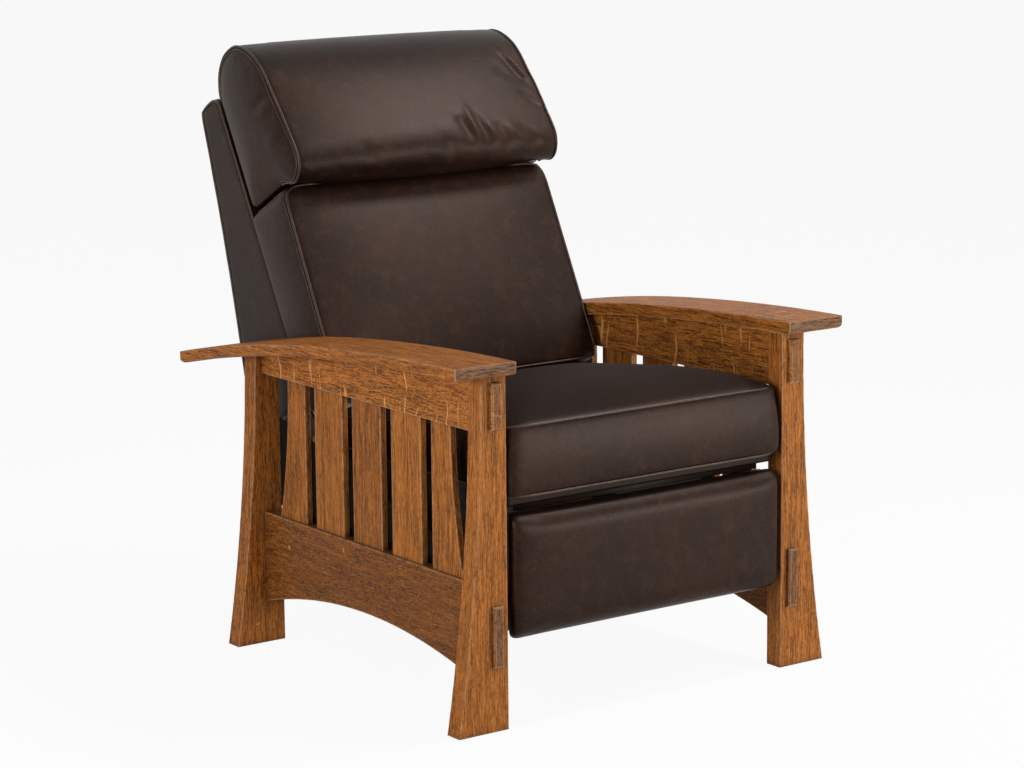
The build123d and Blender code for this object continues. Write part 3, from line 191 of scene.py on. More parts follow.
def mirrored(stations: Sequence[Pair]) -> list[Pair]:
    """Stations of the other end of a piece, from the last to the first, with the sign of x turned."""
    return [(-x, value) for x, value in reversed(stations)]


def upright(x: float, outline: Sequence[Pair]) -> Ring:
    """Ring that stands across the chair at x, through an outline of y and z."""
    return [Vector((x, y, z)) for y, z in outline]


# Shader maths
class Channel:
    """Output socket of a shader node, with arithmetic that adds Math nodes."""

    def __init__(self, graph: "Graph", socket: bpy.types.NodeSocket) -> None:
        """Keeps the graph that the socket is in."""
        self.graph = graph
        self.socket = socket

    def __add__(self, other: "Value") -> "Channel":
        """Sum."""
        return self.graph.maths("ADD", self, other)

    def __sub__(self, other: "Value") -> "Channel":
        """Difference."""
        return self.graph.maths("SUBTRACT", self, other)

    def __rsub__(self, other: "Value") -> "Channel":
        """Difference from a number."""
        return self.graph.maths("SUBTRACT", other, self)

    def __mul__(self, other: "Value") -> "Channel":
        """Product."""
        return self.graph.maths("MULTIPLY", self, other)

    __radd__ = __add__
    __rmul__ = __mul__

    def size(self) -> "Channel":
        """Value without its sign."""
        return self.graph.maths("ABSOLUTE", self)

    def between(self, low: float, high: float) -> "Channel":
        """Smooth step from 0 at low to 1 at high."""
        settings = {"interpolation_type": "SMOOTHSTEP"}
        return self.graph.node("ShaderNodeMapRange", settings, {"Value": self, 1: low, 2: high}, "Result")


Value = Channel | float


@dataclass
class Graph:
    """Node tree of a material or a world, with short ways to add to it."""

    owner: bpy.types.Material | bpy.types.World

    def __post_init__(self) -> None:
        """Empties the tree."""
        self.owner.use_nodes = True
        self.owner.node_tree.nodes.clear()

    @classmethod
    def of_material(cls, name: str) -> "Graph":
        """Empty graph of a new material."""
        return cls(bpy.data.materials.new(name))

    def node(
        self,
        kind: str,
        settings: dict[str, Any] | None = None,
        inputs: dict[str | int, Any] | None = None,
        output: str | int = 0,
    ) -> Channel:
        """Adds a node.

        Args:
            kind: Type of the node.
            settings: Its own settings.
            inputs: Numbers, colours or links of its sockets, by name or number.
            output: Socket to give back.

        Returns:
            The output as a channel.
        """
        made = self.owner.node_tree.nodes.new(kind)
        for key, value in (settings or {}).items():
            setattr(made, key, value)
        for key, value in (inputs or {}).items():
            if isinstance(value, Channel):
                self.owner.node_tree.links.new(value.socket, made.inputs[key])
            else:
                made.inputs[key].default_value = value
        return Channel(self, made.outputs[output] if made.outputs else None)

    def maths(self, operation: str, *values: Value) -> Channel:
        """Result of a Math node on numbers or channels."""
        return self.node("ShaderNodeMath", {"operation": operation}, dict(enumerate(values)))

    def vector(self, operation: str, first: Any, second: Any, output: str = "Vector") -> Channel:
        """Result of a Vector Math node."""
        return self.node("ShaderNodeVectorMath", {"operation": operation}, {0: first, 1: second}, output)

    def mix(self, share: Value, first: Any, second: Any) -> Channel:
        """Mix of two colours, from the first at 0 to the second at 1."""
        return self.node("ShaderNodeMix", {"data_type": "RGBA"}, {0: share, 6: first, 7: second}, 2)

    def layered(self, ground: Any, *layers: tuple[Value, Any]) -> Channel:
        """Ground colour under some layers.

        Args:
            ground: The lowest colour.
            layers: Share and colour of each layer, from the lowest up.

        Returns:
            The colour seen from above.
        """
        for share, colour in layers:
            ground = self.mix(share, ground, colour)
        return ground

    def place(self) -> Channel:
        """Place on the piece."""
        return self.node("ShaderNodeTexCoord", output="Object")

    def facing(self, axis: Triple) -> Channel:
        """How squarely the surface faces along an axis, from -1 to 1."""
        normal = self.node("ShaderNodeTexCoord", output="Normal")
        return self.vector("DOT_PRODUCT", normal, axis, "Value")

    def openness(self, reach: float) -> Channel:
        """How open the surroundings are within a reach, from 0 in a crevice to 1."""
        return self.node("ShaderNodeAmbientOcclusion", {"samples": 4}, {"Distance": reach}, "AO")

    def looked_at(self) -> Channel:
        """1 for what the camera sees, also through a mirror or a pane, and 0 for light on the object."""
        seen = self.node("ShaderNodeLightPath", output="Is Camera Ray")
        for other in ("Is Glossy Ray", "Is Transmission Ray"):
            seen = self.maths("MAXIMUM", seen, self.node("ShaderNodeLightPath", output=other))
        return seen

    def noise(
        self, place: Channel, scale: float, detail: float = 3.0, rough: float = 0.55, bent: float = 0.0,
    ) -> Channel:
        """Noise texture at a place, from 0 to 1."""
        inputs = {"Vector": place, "Scale": scale, "Detail": detail, "Roughness": rough, "Distortion": bent}
        return self.node("ShaderNodeTexNoise", None, inputs, "Fac")

    def stretched(self, place: Channel, scale: Triple) -> Channel:
        """Place scaled along each axis."""
        return self.vector("MULTIPLY", place, scale)

    def swirled(self, place: Channel, scale: float, reach: float) -> Channel:
        """Place moved about by a noise, by up to a reach each way."""
        inputs = {"Vector": place, "Scale": scale, "Detail": 2.0}
        drift = self.node("ShaderNodeTexNoise", None, inputs, "Color")
        centred = self.vector("SUBTRACT", drift, (0.5, 0.5, 0.5))
        return self.vector("ADD", place, self.vector("MULTIPLY", centred, (2.0 * reach,) * 3))

    def bump(self, height: Channel, strength: float, depth: float, under: Channel | None = None) -> Channel:
        """Normal bent by a height, on top of another bump if there is one."""
        inputs: dict[str | int, Any] = {"Height": height, "Strength": strength, "Distance": depth}
        if under is not None:
            inputs["Normal"] = under
        return self.node("ShaderNodeBump", None, inputs)

    def finish(self, **sockets: Any) -> bpy.types.Material:
        """Adds the principled surface and its output.

        Args:
            sockets: Numbers, colours or channels of the surface, with _ for a blank in each name.

        Returns:
            The finished material.
        """
        inputs = {key.replace("_", " "): value for key, value in sockets.items()}
        surface = self.node("ShaderNodeBsdfPrincipled", None, inputs)
        self.node("ShaderNodeOutputMaterial", None, {"Surface": surface})
        return self.owner


def paint(red: float, green: float, blue: float) -> Colour:
    """Linear colour of a swatch given from 0 to 255."""
    def linear(value: float) -> float:
        """One channel made linear."""
        share = value / 255.0
        return share / 12.92 if share <= 0.04045 else ((share + 0.055) / 1.055) ** 2.4
    return (linear(red), linear(green), linear(blue), 1.0)


# Finishes
class Grain(Enum):
    """Axis that the grain of a board runs along."""

    ACROSS = 0
    LENGTHWISE = 1
    UPRIGHT = 2

    def stretch(self, along: float, across: float = 1.0) -> Triple:
        """Scale on X, Y and Z of a figure, from its scales along the grain and across it."""
        return tuple(along if axis == self.value else across for axis in range(3))


@dataclass(frozen=True)
class Board:
    """One oak board and its figure.

    Attributes:
        name: Name of its CAD node.
        grain: Axis that its grain runs along.
        fleck_share: How much of its face shows ray flecks.
        tone: How much lighter than its fellows it is.
        wave: How much its figure wavers, from 0 to 1.
        flat: Whether it lies flat, with its growth rings showing as level lines on its end.
    """

    name: str
    grain: Grain
    fleck_share: float = 0.0
    tone: float = 0.0
    wave: float = 0.2
    flat: bool = False


@dataclass(frozen=True)
class Oak:
    """Quartersawn oak under a warm brown stain, with ray flecks, open pores, painted crevice shade and rubbed
    edges with a painted highlight.
    """

    light: Colour = paint(200, 122, 50)
    middle: Colour = paint(130, 73, 28)
    dark: Colour = paint(58, 25, 8)
    fleck: Colour = paint(226, 158, 86)
    pore: Colour = paint(38, 18, 8)
    # Pale edge colour, partly rubbed wear and partly a painted highlight where the edges catch the light
    rubbed: Colour = paint(206, 168, 128)
    end: Colour = paint(132, 102, 80)
    end_dark: Colour = paint(66, 44, 30)
    # Painted shade laid into the crevices
    crevice_shade: Colour = paint(30, 15, 7)
    sheen: Colour = (1.0, 0.84, 0.70, 1.0)
    index: float = 1.26
    roughness: float = 0.46
    ring_scale: float = 110.0
    streak_scale: float = 380.0
    thread_scale: float = 620.0
    ray_scale: float = 118.0
    patch_scale: float = 22.0
    end_scale: float = 520.0
    figure_stretch: float = 0.045
    pore_stretch: float = 0.22
    ray_stretch: float = 0.07
    end_stretch: float = 0.1
    edge_radius: float = 0.0040
    crevice: float = 0.016

    def stained(
        self, graph: Graph, board: Board, moved: Channel, figure: Channel, streaks: Channel,
    ) -> Channel:
        """Stain over the growth rings, streaks and threads of a board.

        Args:
            graph: Graph of its material.
            board: The board.
            moved: Place on it, moved by its own shift.
            figure: Place stretched along its grain.
            streaks: Noise of its streaks.

        Returns:
            The colour.
        """
        coarse = 0.46 - 0.30 * board.fleck_share
        rings = graph.noise(figure, self.ring_scale, 2.0, 0.5).between(0.38, 0.62)
        threads = graph.noise(figure, self.thread_scale, 2.0, 0.6).between(0.44, 0.56)
        lit = rings * 0.22 + streaks.between(0.44, 0.56) * coarse + threads * (0.78 - coarse)
        return graph.layered(
            graph.mix(lit, self.dark, self.light),
            (0.1, self.middle),
            (graph.noise(moved, 5.0, 2.0).between(0.25, 0.75) * 0.25, self.middle),
            (abs(board.tone), self.light if board.tone > 0.0 else self.dark),
        )

    def flecks(self, graph: Graph, board: Board, moved: Channel) -> Channel:
        """Share of the ray flecks, which lie in patches, slanted across the grain.

        Args:
            graph: Graph of the board's material.
            board: The board.
            moved: Place on it, moved by its own shift.

        Returns:
            The share.
        """
        slanted = graph.swirled(graph.swirled(moved, 7.0, 0.040), 30.0, 0.0035)
        crossed = graph.stretched(slanted, board.grain.stretch(1.0, self.ray_stretch))
        rays = graph.noise(crossed, self.ray_scale, 1.0, 0.5).between(0.635, 0.68)
        spared = 0.36 * board.fleck_share
        return rays * graph.noise(moved, self.patch_scale, 2.0).between(0.68 - spared, 0.76 - spared)

    def cut_end(self, graph: Graph, board: Board, bent: Channel) -> tuple[Channel, Channel]:
        """Growth rings of a cut end, where the surface faces along the grain.

        Args:
            graph: Graph of the board's material.
            board: The board.
            bent: Place on it, bent by its waves.

        Returns:
            Share and colour of the end.
        """
        level = Grain.ACROSS if board.flat else Grain.UPRIGHT
        rings = graph.noise(graph.stretched(bent, level.stretch(self.end_stretch)), self.end_scale, 3.0, 0.6)
        facing = graph.facing(board.grain.stretch(1.0, 0.0)).size().between(0.80, 0.92)
        end = graph.mix(rings.between(0.40, 0.62), self.end, self.end_dark)
        return facing * (0.85 if board.flat else 0.55), end

    def shaded_and_rubbed(self, graph: Graph, body: Channel) -> Channel:
        """Colour with painted shade in the crevices and the edges rubbed pale, partly wear and partly a
        painted highlight.
        """
        round_normal = graph.node("ShaderNodeBevel", {"samples": 4}, {"Radius": self.edge_radius})
        sharp = graph.node("ShaderNodeNewGeometry", output="Normal")
        edge = 1.0 - graph.vector("DOT_PRODUCT", round_normal, sharp, "Value")
        # The pale edges are partly rubbed wear and partly a painted highlight on rounded, open edges
        worn = edge.between(0.02, 0.13) * graph.noise(graph.place(), 75.0, 3.0, 0.6).between(0.24, 0.58)
        # Painted shade: the colour darkens in crevices that ambient occlusion finds
        open_sky = graph.openness(self.crevice)
        shade = 1.0 - open_sky.between(0.25, 0.9)
        return graph.layered(body, (shade * 0.85, self.crevice_shade), (worn * open_sky * 0.85, self.rubbed))

    def finish(self, board: Board, seed: int) -> bpy.types.Material:
        """Material of one board.

        Args:
            board: The board.
            seed: Number that sets its own figure.

        Returns:
            The material.
        """
        graph = Graph.of_material(f"oak_{board.name}")
        draw = np.random.default_rng(seed)
        shift = tuple(float(value) for value in draw.uniform(-5.0, 5.0, 3))
        moved = graph.vector("ADD", graph.place(), shift)
        bent = graph.swirled(moved, 6.0, 0.006 * board.wave + 0.002)
        bent = graph.swirled(bent, 44.0, 0.0030 * board.wave + 0.0004)
        figure = graph.stretched(bent, board.grain.stretch(self.figure_stretch))
        streaks = graph.noise(figure, self.streak_scale, 3.0, 0.7)
        dashes = graph.stretched(bent, board.grain.stretch(self.pore_stretch))
        speckle = graph.noise(dashes, self.thread_scale, 2.0, 0.6)
        holes = speckle.between(0.55, 0.66)
        body = graph.layered(
            self.stained(graph, board, moved, figure, streaks),
            (self.flecks(graph, board, moved) * 0.8, self.fleck),
            (speckle.between(0.46, 0.34) * (0.2 + 0.2 * board.fleck_share), self.fleck),
            (holes * 0.45, self.pore),
            self.cut_end(graph, board, bent),
        )
        return graph.finish(
            Base_Color=self.shaded_and_rubbed(graph, body),
            Roughness=self.roughness + streaks * 0.16,
            Normal=graph.bump(streaks * 0.45 - holes, 0.6, 0.0004),
            IOR=self.index,
            Specular_Tint=self.sheen,
        )


@dataclass(frozen=True)
class Leather:
    """Dark brown hide with a pebble of fine pores, cloudy dye, a soft sheen, and painted shade in crevices
    and on upward faces.
    """

    deep: Colour = paint(23, 11, 6)
    warm: Colour = paint(40, 21, 12)
    dusty: Colour = paint(70, 46, 34)
    # The darkest colour serves real pores and folds, and also painted shade in crevices, on upward faces and
    # on the dark copy under the seat
    crease: Colour = paint(10, 6, 4)
    sheen: Colour = (1.0, 0.74, 0.62, 1.0)
    index: float = 1.25
    roughness: float = 0.30
    dulled: float = 0.0
    pebble_scale: float = 520.0
    pebble_relief: float = 0.24
    crevice: float = 0.012

    def dyed_and_shaded(self, graph: Graph, place: Channel, blots: Channel, tone: float) -> Channel:
        """Cloudy dye, rubbed and scratched, darker in the pores, and with painted shade in the crevices.

        Args:
            graph: Graph of the material.
            place: Place on the piece.
            blots: Noise of its blots.
            tone: Share of the deepest colour laid over it.

        Returns:
            The colour.
        """
        clouds = graph.noise(place, 6.0, 4.0, 0.6)
        scratches = graph.noise(graph.stretched(place, (1.0, 1.0, 0.22)), 170.0, 4.0, 0.7, 1.4)
        grains = graph.noise(place, 420.0, 3.0, 0.7)
        # Painted shade: crevices that ambient occlusion finds are darkened
        shade = 1.0 - graph.openness(self.crevice).between(0.25, 0.85)
        return graph.layered(
            graph.mix(clouds.between(0.34, 0.68), self.deep, self.warm),
            (blots.between(0.48, 0.72) * 0.42, self.dusty),
            (blots.between(0.50, 0.30) * 0.3, self.deep),
            (scratches.between(0.655, 0.70) * 0.5, self.dusty),
            (grains.between(0.50, 0.68) * 0.45, self.dusty),
            (grains.between(0.50, 0.34) * 0.6, self.crease),
            (tone, self.crease),
            (shade * 0.85, self.crease),
        )

    def hide(self, name: str, tone: float = 0.0) -> bpy.types.Material:
        """Material of a hide.

        Args:
            name: Name of the finish.
            tone: Share of the deepest colour laid over it.

        Returns:
            The material.
        """
        graph = Graph.of_material(name)
        place = graph.place()
        blots = graph.noise(place, 34.0, 5.0, 0.68, 0.4)
        pebbles = graph.node(
            "ShaderNodeTexVoronoi",
            {"feature": "DISTANCE_TO_EDGE"},
            {"Vector": graph.swirled(place, 260.0, 0.0006), "Scale": self.pebble_scale},
            "Distance",
        )
        pores = pebbles.between(0.0, 0.16)
        fine = graph.noise(place, 900.0, 2.0)
        dents = graph.bump(graph.noise(place, 70.0, 3.0, 0.55, 0.6), 0.10, 0.0016)
        # Painted shade: faces that turn upwards are darkened, and also made rougher
        shaded_top_mask = graph.facing((0.0, 0.0, 1.0)).between(0.62, 0.90)
        return graph.finish(
            Base_Color=graph.mix(shaded_top_mask * 0.6, self.dyed_and_shaded(graph, place, blots, tone), self.crease),
            Roughness=blots * 0.12 + (1.0 - pores) * 0.08 + self.roughness + shaded_top_mask * self.dulled,
            Normal=graph.bump(pores * 0.8 + fine * 0.3, self.pebble_relief, 0.0003, dents),
            IOR=self.index,
            Specular_Tint=self.sheen,
        )


@dataclass(frozen=True)
class Steel:
    """Flat steel of the mechanism, painted or plated."""

    tint: Colour
    metallic: float
    roughness: float

    def sheet(self, name: str) -> bpy.types.Material:
        """Material of a pressed steel piece."""
        graph = Graph.of_material(name)
        place = graph.place()
        haze = graph.noise(place, 60.0, 4.0, 0.6)
        grit = graph.noise(place, 900.0, 2.0)
        dust = tuple(min(1.0, value * 1.5 + 0.01) for value in self.tint[:3]) + (1.0,)
        return graph.finish(
            Base_Color=graph.mix(haze.between(0.42, 0.75) * 0.5, self.tint, dust),
            Metallic=self.metallic,
            Roughness=self.roughness + haze * 0.18,
            Normal=graph.bump(grit, 0.12, 0.0002),
        )


@dataclass(frozen=True)
class Webbing:
    """Black woven webbing under the cushions."""

    thread: Colour = paint(34, 31, 30)
    gap: Colour = paint(10, 9, 9)

    def cloth(self, name: str) -> bpy.types.Material:
        """Material of the woven sheet."""
        graph = Graph.of_material(name)
        weave = graph.node("ShaderNodeTexBrick", {"offset": 0.5}, {
            "Vector": graph.place(),
            "Scale": 90.0,
            "Color1": self.thread,
            "Color2": self.thread,
            "Mortar": self.gap,
            "Mortar Size": 0.05,
        })
        return graph.finish(Base_Color=weave, Roughness=0.85, IOR=1.2)


@dataclass(frozen=True)
class FrameWood:
    """Plain wood of the hidden rails under a black stain."""

    stain: Colour = paint(30, 22, 18)
    worn: Colour = paint(52, 38, 30)

    def board(self, name: str) -> bpy.types.Material:
        """Material of a stained board."""
        graph = Graph.of_material(name)
        streaks = graph.noise(graph.stretched(graph.place(), (0.06, 1.0, 1.0)), 260.0, 3.0, 0.6)
        return graph.finish(
            Base_Color=graph.mix(streaks.between(0.4, 0.7), self.stain, self.worn),
            Roughness=0.62,
            Normal=graph.bump(streaks, 0.2, 0.0003),
        )


# Soft forms
def linked(name: str, data: bpy.types.ID) -> bpy.types.Object:
    """New object of the scene that shows some data."""
    made = bpy.data.objects.new(name, data)
    bpy.context.scene.collection.objects.link(made)
    return made


def finished(name: str, mesh: bmesh.types.BMesh) -> bpy.types.Object:
    """New object of the scene that shows a mesh, which is freed."""
    data = bpy.data.meshes.new(name)
    mesh.to_mesh(data)
    mesh.free()
    return linked(name, data)


def skin(name: str, rings: Sequence[Ring]) -> bpy.types.Object:
    """Closed mesh through rings of equally many points, each end closed at its middle.

    Args:
        name: Name of the new piece.
        rings: The rings in order.

    Returns:
        The new object.
    """
    mesh = bmesh.new()
    rows = [[mesh.verts.new(point) for point in ring] for ring in rings]
    count = len(rows[0])
    for lower, upper in zip(rows, rows[1:]):
        for step in range(count):
            after = (step + 1) % count
            mesh.faces.new((lower[step], lower[after], upper[after], upper[step]))
    for row, turned in ((rows[0], True), (rows[-1], False)):
        middle = mesh.verts.new(sum((vert.co for vert in row), Vector()) / count)
        for step in range(count):
            after = (step + 1) % count
            corners = (row[after], row[step], middle) if turned else (row[step], row[after], middle)
            mesh.faces.new(corners)
    bmesh.ops.recalc_face_normals(mesh, faces=mesh.faces)
    return finished(name, mesh)


def settle(piece: bpy.types.Object) -> None:
    """Replaces a piece's mesh by what its modifiers give, and removes them."""
    evaluated = piece.evaluated_get(bpy.context.evaluated_depsgraph_get())
    data = bpy.data.meshes.new_from_object(evaluated)
    piece.modifiers.clear()
    piece.data = data


def places_of(piece: bpy.types.Object) -> np.ndarray:
    """Places of a mesh's points as rows."""
    flat = np.empty(len(piece.data.vertices) * 3)
    piece.data.vertices.foreach_get("co", flat)
    return flat.reshape(-1, 3)


def put(piece: bpy.types.Object, places: np.ndarray) -> None:
    """Moves a mesh's points."""
    piece.data.vertices.foreach_set("co", places.ravel())
    piece.data.update()


def relax(piece: bpy.types.Object, rounds: int, share: float = 0.5, held: np.ndarray | None = None) -> None:
    """Smooths a mesh.

    Args:
        piece: The piece.
        rounds: How many times each point moves towards its neighbours.
        share: How far it moves each time.
        held: Share of the move that each point gives up.
    """
    edges = np.empty(len(piece.data.edges) * 2, int)
    piece.data.edges.foreach_get("vertices", edges)
    first, second = edges.reshape(-1, 2).T
    places = places_of(piece)
    count = np.bincount(np.concatenate([first, second]), minlength=len(places))[:, None]
    free = 1.0 if held is None else (1.0 - held)[:, None]
    for _ in range(rounds):
        total = np.zeros_like(places)
        np.add.at(total, first, places[second])
        np.add.at(total, second, places[first])
        places += (total / np.maximum(count, 1) - places) * share * free
    put(piece, places)


def nearness(places: np.ndarray, paths: Iterable[Sequence[Vector]], full: float, none: float) -> np.ndarray:
    """How near each place is to the nearest of some paths.

    Args:
        places: The places as rows.
        paths: Paths as closely spaced points.
        full: Distance within which the result is 1.
        none: Distance beyond which it is 0.

    Returns:
        One number from 0 to 1 for each place.
    """
    points = [point for path in paths for point in path]
    if not points:
        return np.zeros(len(places))
    tree = KDTree(len(points))
    for index, point in enumerate(points):
        tree.insert(point, index)
    tree.balance()
    distances = np.array([tree.find(place)[2] for place in places])
    return np.clip((none - distances) / (none - full), 0.0, 1.0)


@dataclass
class Inflation:
    """How a padded form is filled."""

    pressure: float = 4.0
    cap: float = 0.010
    stiff: float = 12.0
    bend: float = 0.6
    seam_hold: float = 0.004
    seam_fade: float = 0.012
    cloth: bool = True

    def fill(
        self,
        piece: bpy.types.Object,
        seams: Sequence[Sequence[Vector]],
        flat: Callable[[np.ndarray], np.ndarray] | None = None,
    ) -> None:
        """Remeshes a closed form and fills it as cloth, its seams held.

        Args:
            piece: The closed form.
            seams: Paths that stay where they are.
            flat: Gives the share of the swelling that each place gives up, as where it rests on something.
        """
        remesh = piece.modifiers.new("even", "REMESH")
        remesh.mode = "VOXEL"
        remesh.voxel_size = VOXEL
        settle(piece)
        before = places_of(piece)
        held = nearness(before, seams, self.seam_hold, self.seam_fade)
        if flat is not None:
            held = np.maximum(held, flat(before))
        relax(piece, 3, 0.5, held * 0.4)
        if self.cloth:
            self.simulate(piece, held)
        relax(piece, 2, 0.5)

    def simulate(self, piece: bpy.types.Object, held: np.ndarray) -> None:
        """Runs the cloth and keeps its capped result.

        Args:
            piece: The remeshed form.
            held: Share of each point that is pinned.
        """
        before = places_of(piece)
        group = piece.vertex_groups.new(name="seams")
        for index in np.nonzero(held > 0.01)[0]:
            group.add([int(index)], float(held[index]), "REPLACE")
        cloth = piece.modifiers.new("cloth", "CLOTH")
        settings = cloth.settings
        settings.quality = 5
        settings.mass = 0.3
        settings.tension_stiffness = settings.compression_stiffness = self.stiff
        settings.shear_stiffness = self.stiff / 2.0
        settings.bending_stiffness = self.bend
        settings.use_pressure = True
        settings.uniform_pressure_force = self.pressure
        settings.vertex_group_mass = "seams"
        settings.effector_weights.gravity = 0.0
        cloth.collision_settings.use_collision = False
        cloth.point_cache.frame_start, cloth.point_cache.frame_end = 1, SIM_FRAMES
        scene = bpy.context.scene
        for step in range(1, SIM_FRAMES + 1):
            scene.frame_set(step)
        settle(piece)
        scene.frame_set(1)
        moved = places_of(piece) - before
        reach = np.linalg.norm(moved, axis=1, keepdims=True)
        log.info("%s swelled by %.1f mm at most", piece.name, reach.max() / MM)
        limit = self.cap * (1.0 - 0.9 * held[:, None])
        put(piece, before + moved * (limit * np.tanh(reach / limit) / np.maximum(reach, 1e-9)))
        piece.vertex_groups.clear()


@dataclass(frozen=True)
class Crease:
    """Soft fold pressed into or raised from a hide.

    Attributes:
        start: One end.
        end: The other end.
        width: How wide it is.
        depth: How deep it is, below 0 for a raised fold.
        facing: Direction of the surface that it lies in, along which its distance isn't measured.
    """

    start: Vector
    end: Vector
    width: float
    depth: float
    facing: Vector


def crumple(piece: bpy.types.Object, creases: Sequence[Crease]) -> None:
    """Moves a mesh in or out along its normals where creases run over it.

    Args:
        piece: The piece.
        creases: The creases.
    """
    places = places_of(piece)
    normals = np.empty(len(places) * 3)
    piece.data.vertices.foreach_get("normal", normals)
    normals = normals.reshape(-1, 3)
    shift = np.zeros(len(places))
    for crease in creases:
        parts = (crease.start, crease.end - crease.start, crease.facing)
        start, run, facing = (np.array(part) for part in parts)
        run -= facing * (run @ facing)
        offset = places - start
        offset -= np.outer(offset @ facing, facing)
        share = np.clip(offset @ run / (run @ run), 0.0, 1.0)
        gap = np.linalg.norm(offset - share[:, None] * run, axis=1)
        taper = np.sin(np.pi * np.clip(share, 0.02, 0.98)) ** 0.7
        turned = np.clip(normals @ facing * 2.0, 0.0, 1.0)
        shift -= crease.depth * np.exp(-((gap / crease.width) ** 2)) * taper * turned
    put(piece, places + normals * shift[:, None])


def dense(points: Sequence[Vector], closed: bool = False, step: float = 0.002) -> list[Vector]:
    """Closely spaced points along a path.

    Args:
        points: Corners of the path.
        closed: Whether it comes back to its start.
        step: Spacing of the result.

    Returns:
        The points.
    """
    line = [*points, points[0]] if closed else list(points)
    found: list[Vector] = []
    for start, end in zip(line, line[1:]):
        count = max(1, round((end - start).length / step))
        found.extend(start.lerp(end, index / count) for index in range(count))
    return found if closed else [*found, line[-1].copy()]


def tube(name: str, path: Sequence[Vector], radius: float, closed: bool = False) -> bpy.types.Object:
    """Round cord along a path, as a mesh.

    Args:
        name: Name of the new piece.
        path: Its middle line.
        radius: Half its thickness.
        closed: Whether it comes back to its start.

    Returns:
        The new object.
    """
    curve = bpy.data.curves.new(name, "CURVE")
    curve.dimensions = "3D"
    curve.bevel_depth = radius
    curve.bevel_resolution = 2
    curve.use_fill_caps = True
    spline = curve.splines.new("NURBS")
    spline.points.add(len(path) - 1)
    for point, place in zip(spline.points, path):
        point.co = (*place, 1.0)
    spline.order_u = 4
    spline.resolution_u = 2
    spline.use_cyclic_u = closed
    spline.use_endpoint_u = not closed
    holder = linked(name, curve)
    data = bpy.data.meshes.new_from_object(holder.evaluated_get(bpy.context.evaluated_depsgraph_get()))
    bpy.data.objects.remove(holder)
    made = linked(name, data)
    made.data.shade_smooth()
    return made


def dress(piece: bpy.types.Object, material: bpy.types.Material, body: str) -> None:
    """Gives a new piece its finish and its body.

    Args:
        piece: The piece.
        material: Its finish.
        body: The CAD body that it rides on.
    """
    piece.data.materials.clear()
    piece.data.materials.append(material)
    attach(piece, body)
    log.info("%s rides on %s", piece.name, body)


def coat(node: str, material: bpy.types.Material) -> None:
    """Gives a piece that keeps its CAD shape its finish."""
    materials = frame["nodes"][node].data.materials
    materials.clear()
    materials.append(material)
    log.info("%s is %s", node, material.name)


def sewn(piece: bpy.types.Object, path: Sequence[Vector], proud: float) -> list[Vector]:
    """Path laid on the surface of a padded piece.

    Args:
        piece: The piece, whose mesh is final.
        path: Points near its surface.
        proud: How far the result stands out of the surface.

    Returns:
        The new path, gently evened.
    """
    tree = BVHTree.FromObject(piece, bpy.context.evaluated_depsgraph_get())
    laid = []
    for point in path:
        place, normal, _, _ = tree.find_nearest(point)
        laid.append(place + normal * proud)
    for _ in range(4):
        threes = zip(laid, laid[1:], laid[2:])
        inner = [(before + point * 2.0 + after) / 4.0 for before, point, after in threes]
        laid = [laid[0], *inner, laid[-1]]
    return laid


@dataclass(frozen=True)
class Piping:
    """Thin cord under a strip of hide, sewn along a seam.

    Attributes:
        leather: Hide that covers it.
        radius: Half its thickness.
        proud: How far its middle stands out of the surface.
    """

    leather: bpy.types.Material
    radius: float
    proud: float

    def sew(
        self, name: str, piece: bpy.types.Object, path: Sequence[Vector], body: str, closed: bool = False,
    ) -> None:
        """Lays it on a padded piece.

        Args:
            name: Name of the new piece.
            piece: The padded piece.
            path: Points near its surface.
            body: The CAD body that both ride on.
            closed: Whether the path comes back to its start.
        """
        cord = tube(name, sewn(piece, path, self.proud), self.radius, closed)
        dress(cord, self.leather, body)


def smooth_out(piece: bpy.types.Object) -> None:
    """Shades a padded piece smooth and divides it once."""
    piece.data.shade_smooth()
    fine = piece.modifiers.new("fine", "SUBSURF")
    fine.levels = fine.render_levels = 1


# Sub-assemblies
@dataclass
class OakFrame:
    """Legs, arms, rails, slats and stretchers, which keep their CAD shapes."""

    oak: Oak = Oak()
    first_seed: int = 3
    slat_tones: tuple[float, ...] = (0.0, 0.12, -0.15, 0.06, -0.05)
    slat_waves: tuple[float, ...] = (0.5, 0.1, 0.1, 0.1, 0.5)

    def boards(self) -> list[Board]:
        """Every board of the frame, in the order of their seeds."""
        found: list[Board] = []
        for side in ("left", "right"):
            found += [
                Board(f"front_leg_{side}", Grain.UPRIGHT, tone=0.08, wave=0.3),
                Board(f"rear_leg_{side}", Grain.UPRIGHT, tone=-0.05, wave=0.5),
                Board(f"armrest_{side}", Grain.LENGTHWISE, fleck_share=0.2, flat=True),
                Board(f"upper_rail_{side}", Grain.LENGTHWISE, fleck_share=1.0, wave=0.3),
                Board(f"lower_rail_{side}", Grain.LENGTHWISE, tone=-0.50, wave=1.0),
            ]
            found += [
                Board(f"side_slat_{number}_{side}", Grain.UPRIGHT, tone=tone, wave=wave)
                for number, tone, wave in zip(range(1, 6), self.slat_tones, self.slat_waves)
            ]
        found += [Board(f"{end}_stretcher", Grain.ACROSS, fleck_share=0.3) for end in ("front", "rear")]
        return found

    def build(self) -> None:
        """Gives every board its own oak."""
        for seed, board in enumerate(self.boards(), self.first_seed):
            coat(board.name, self.oak.finish(board, seed))


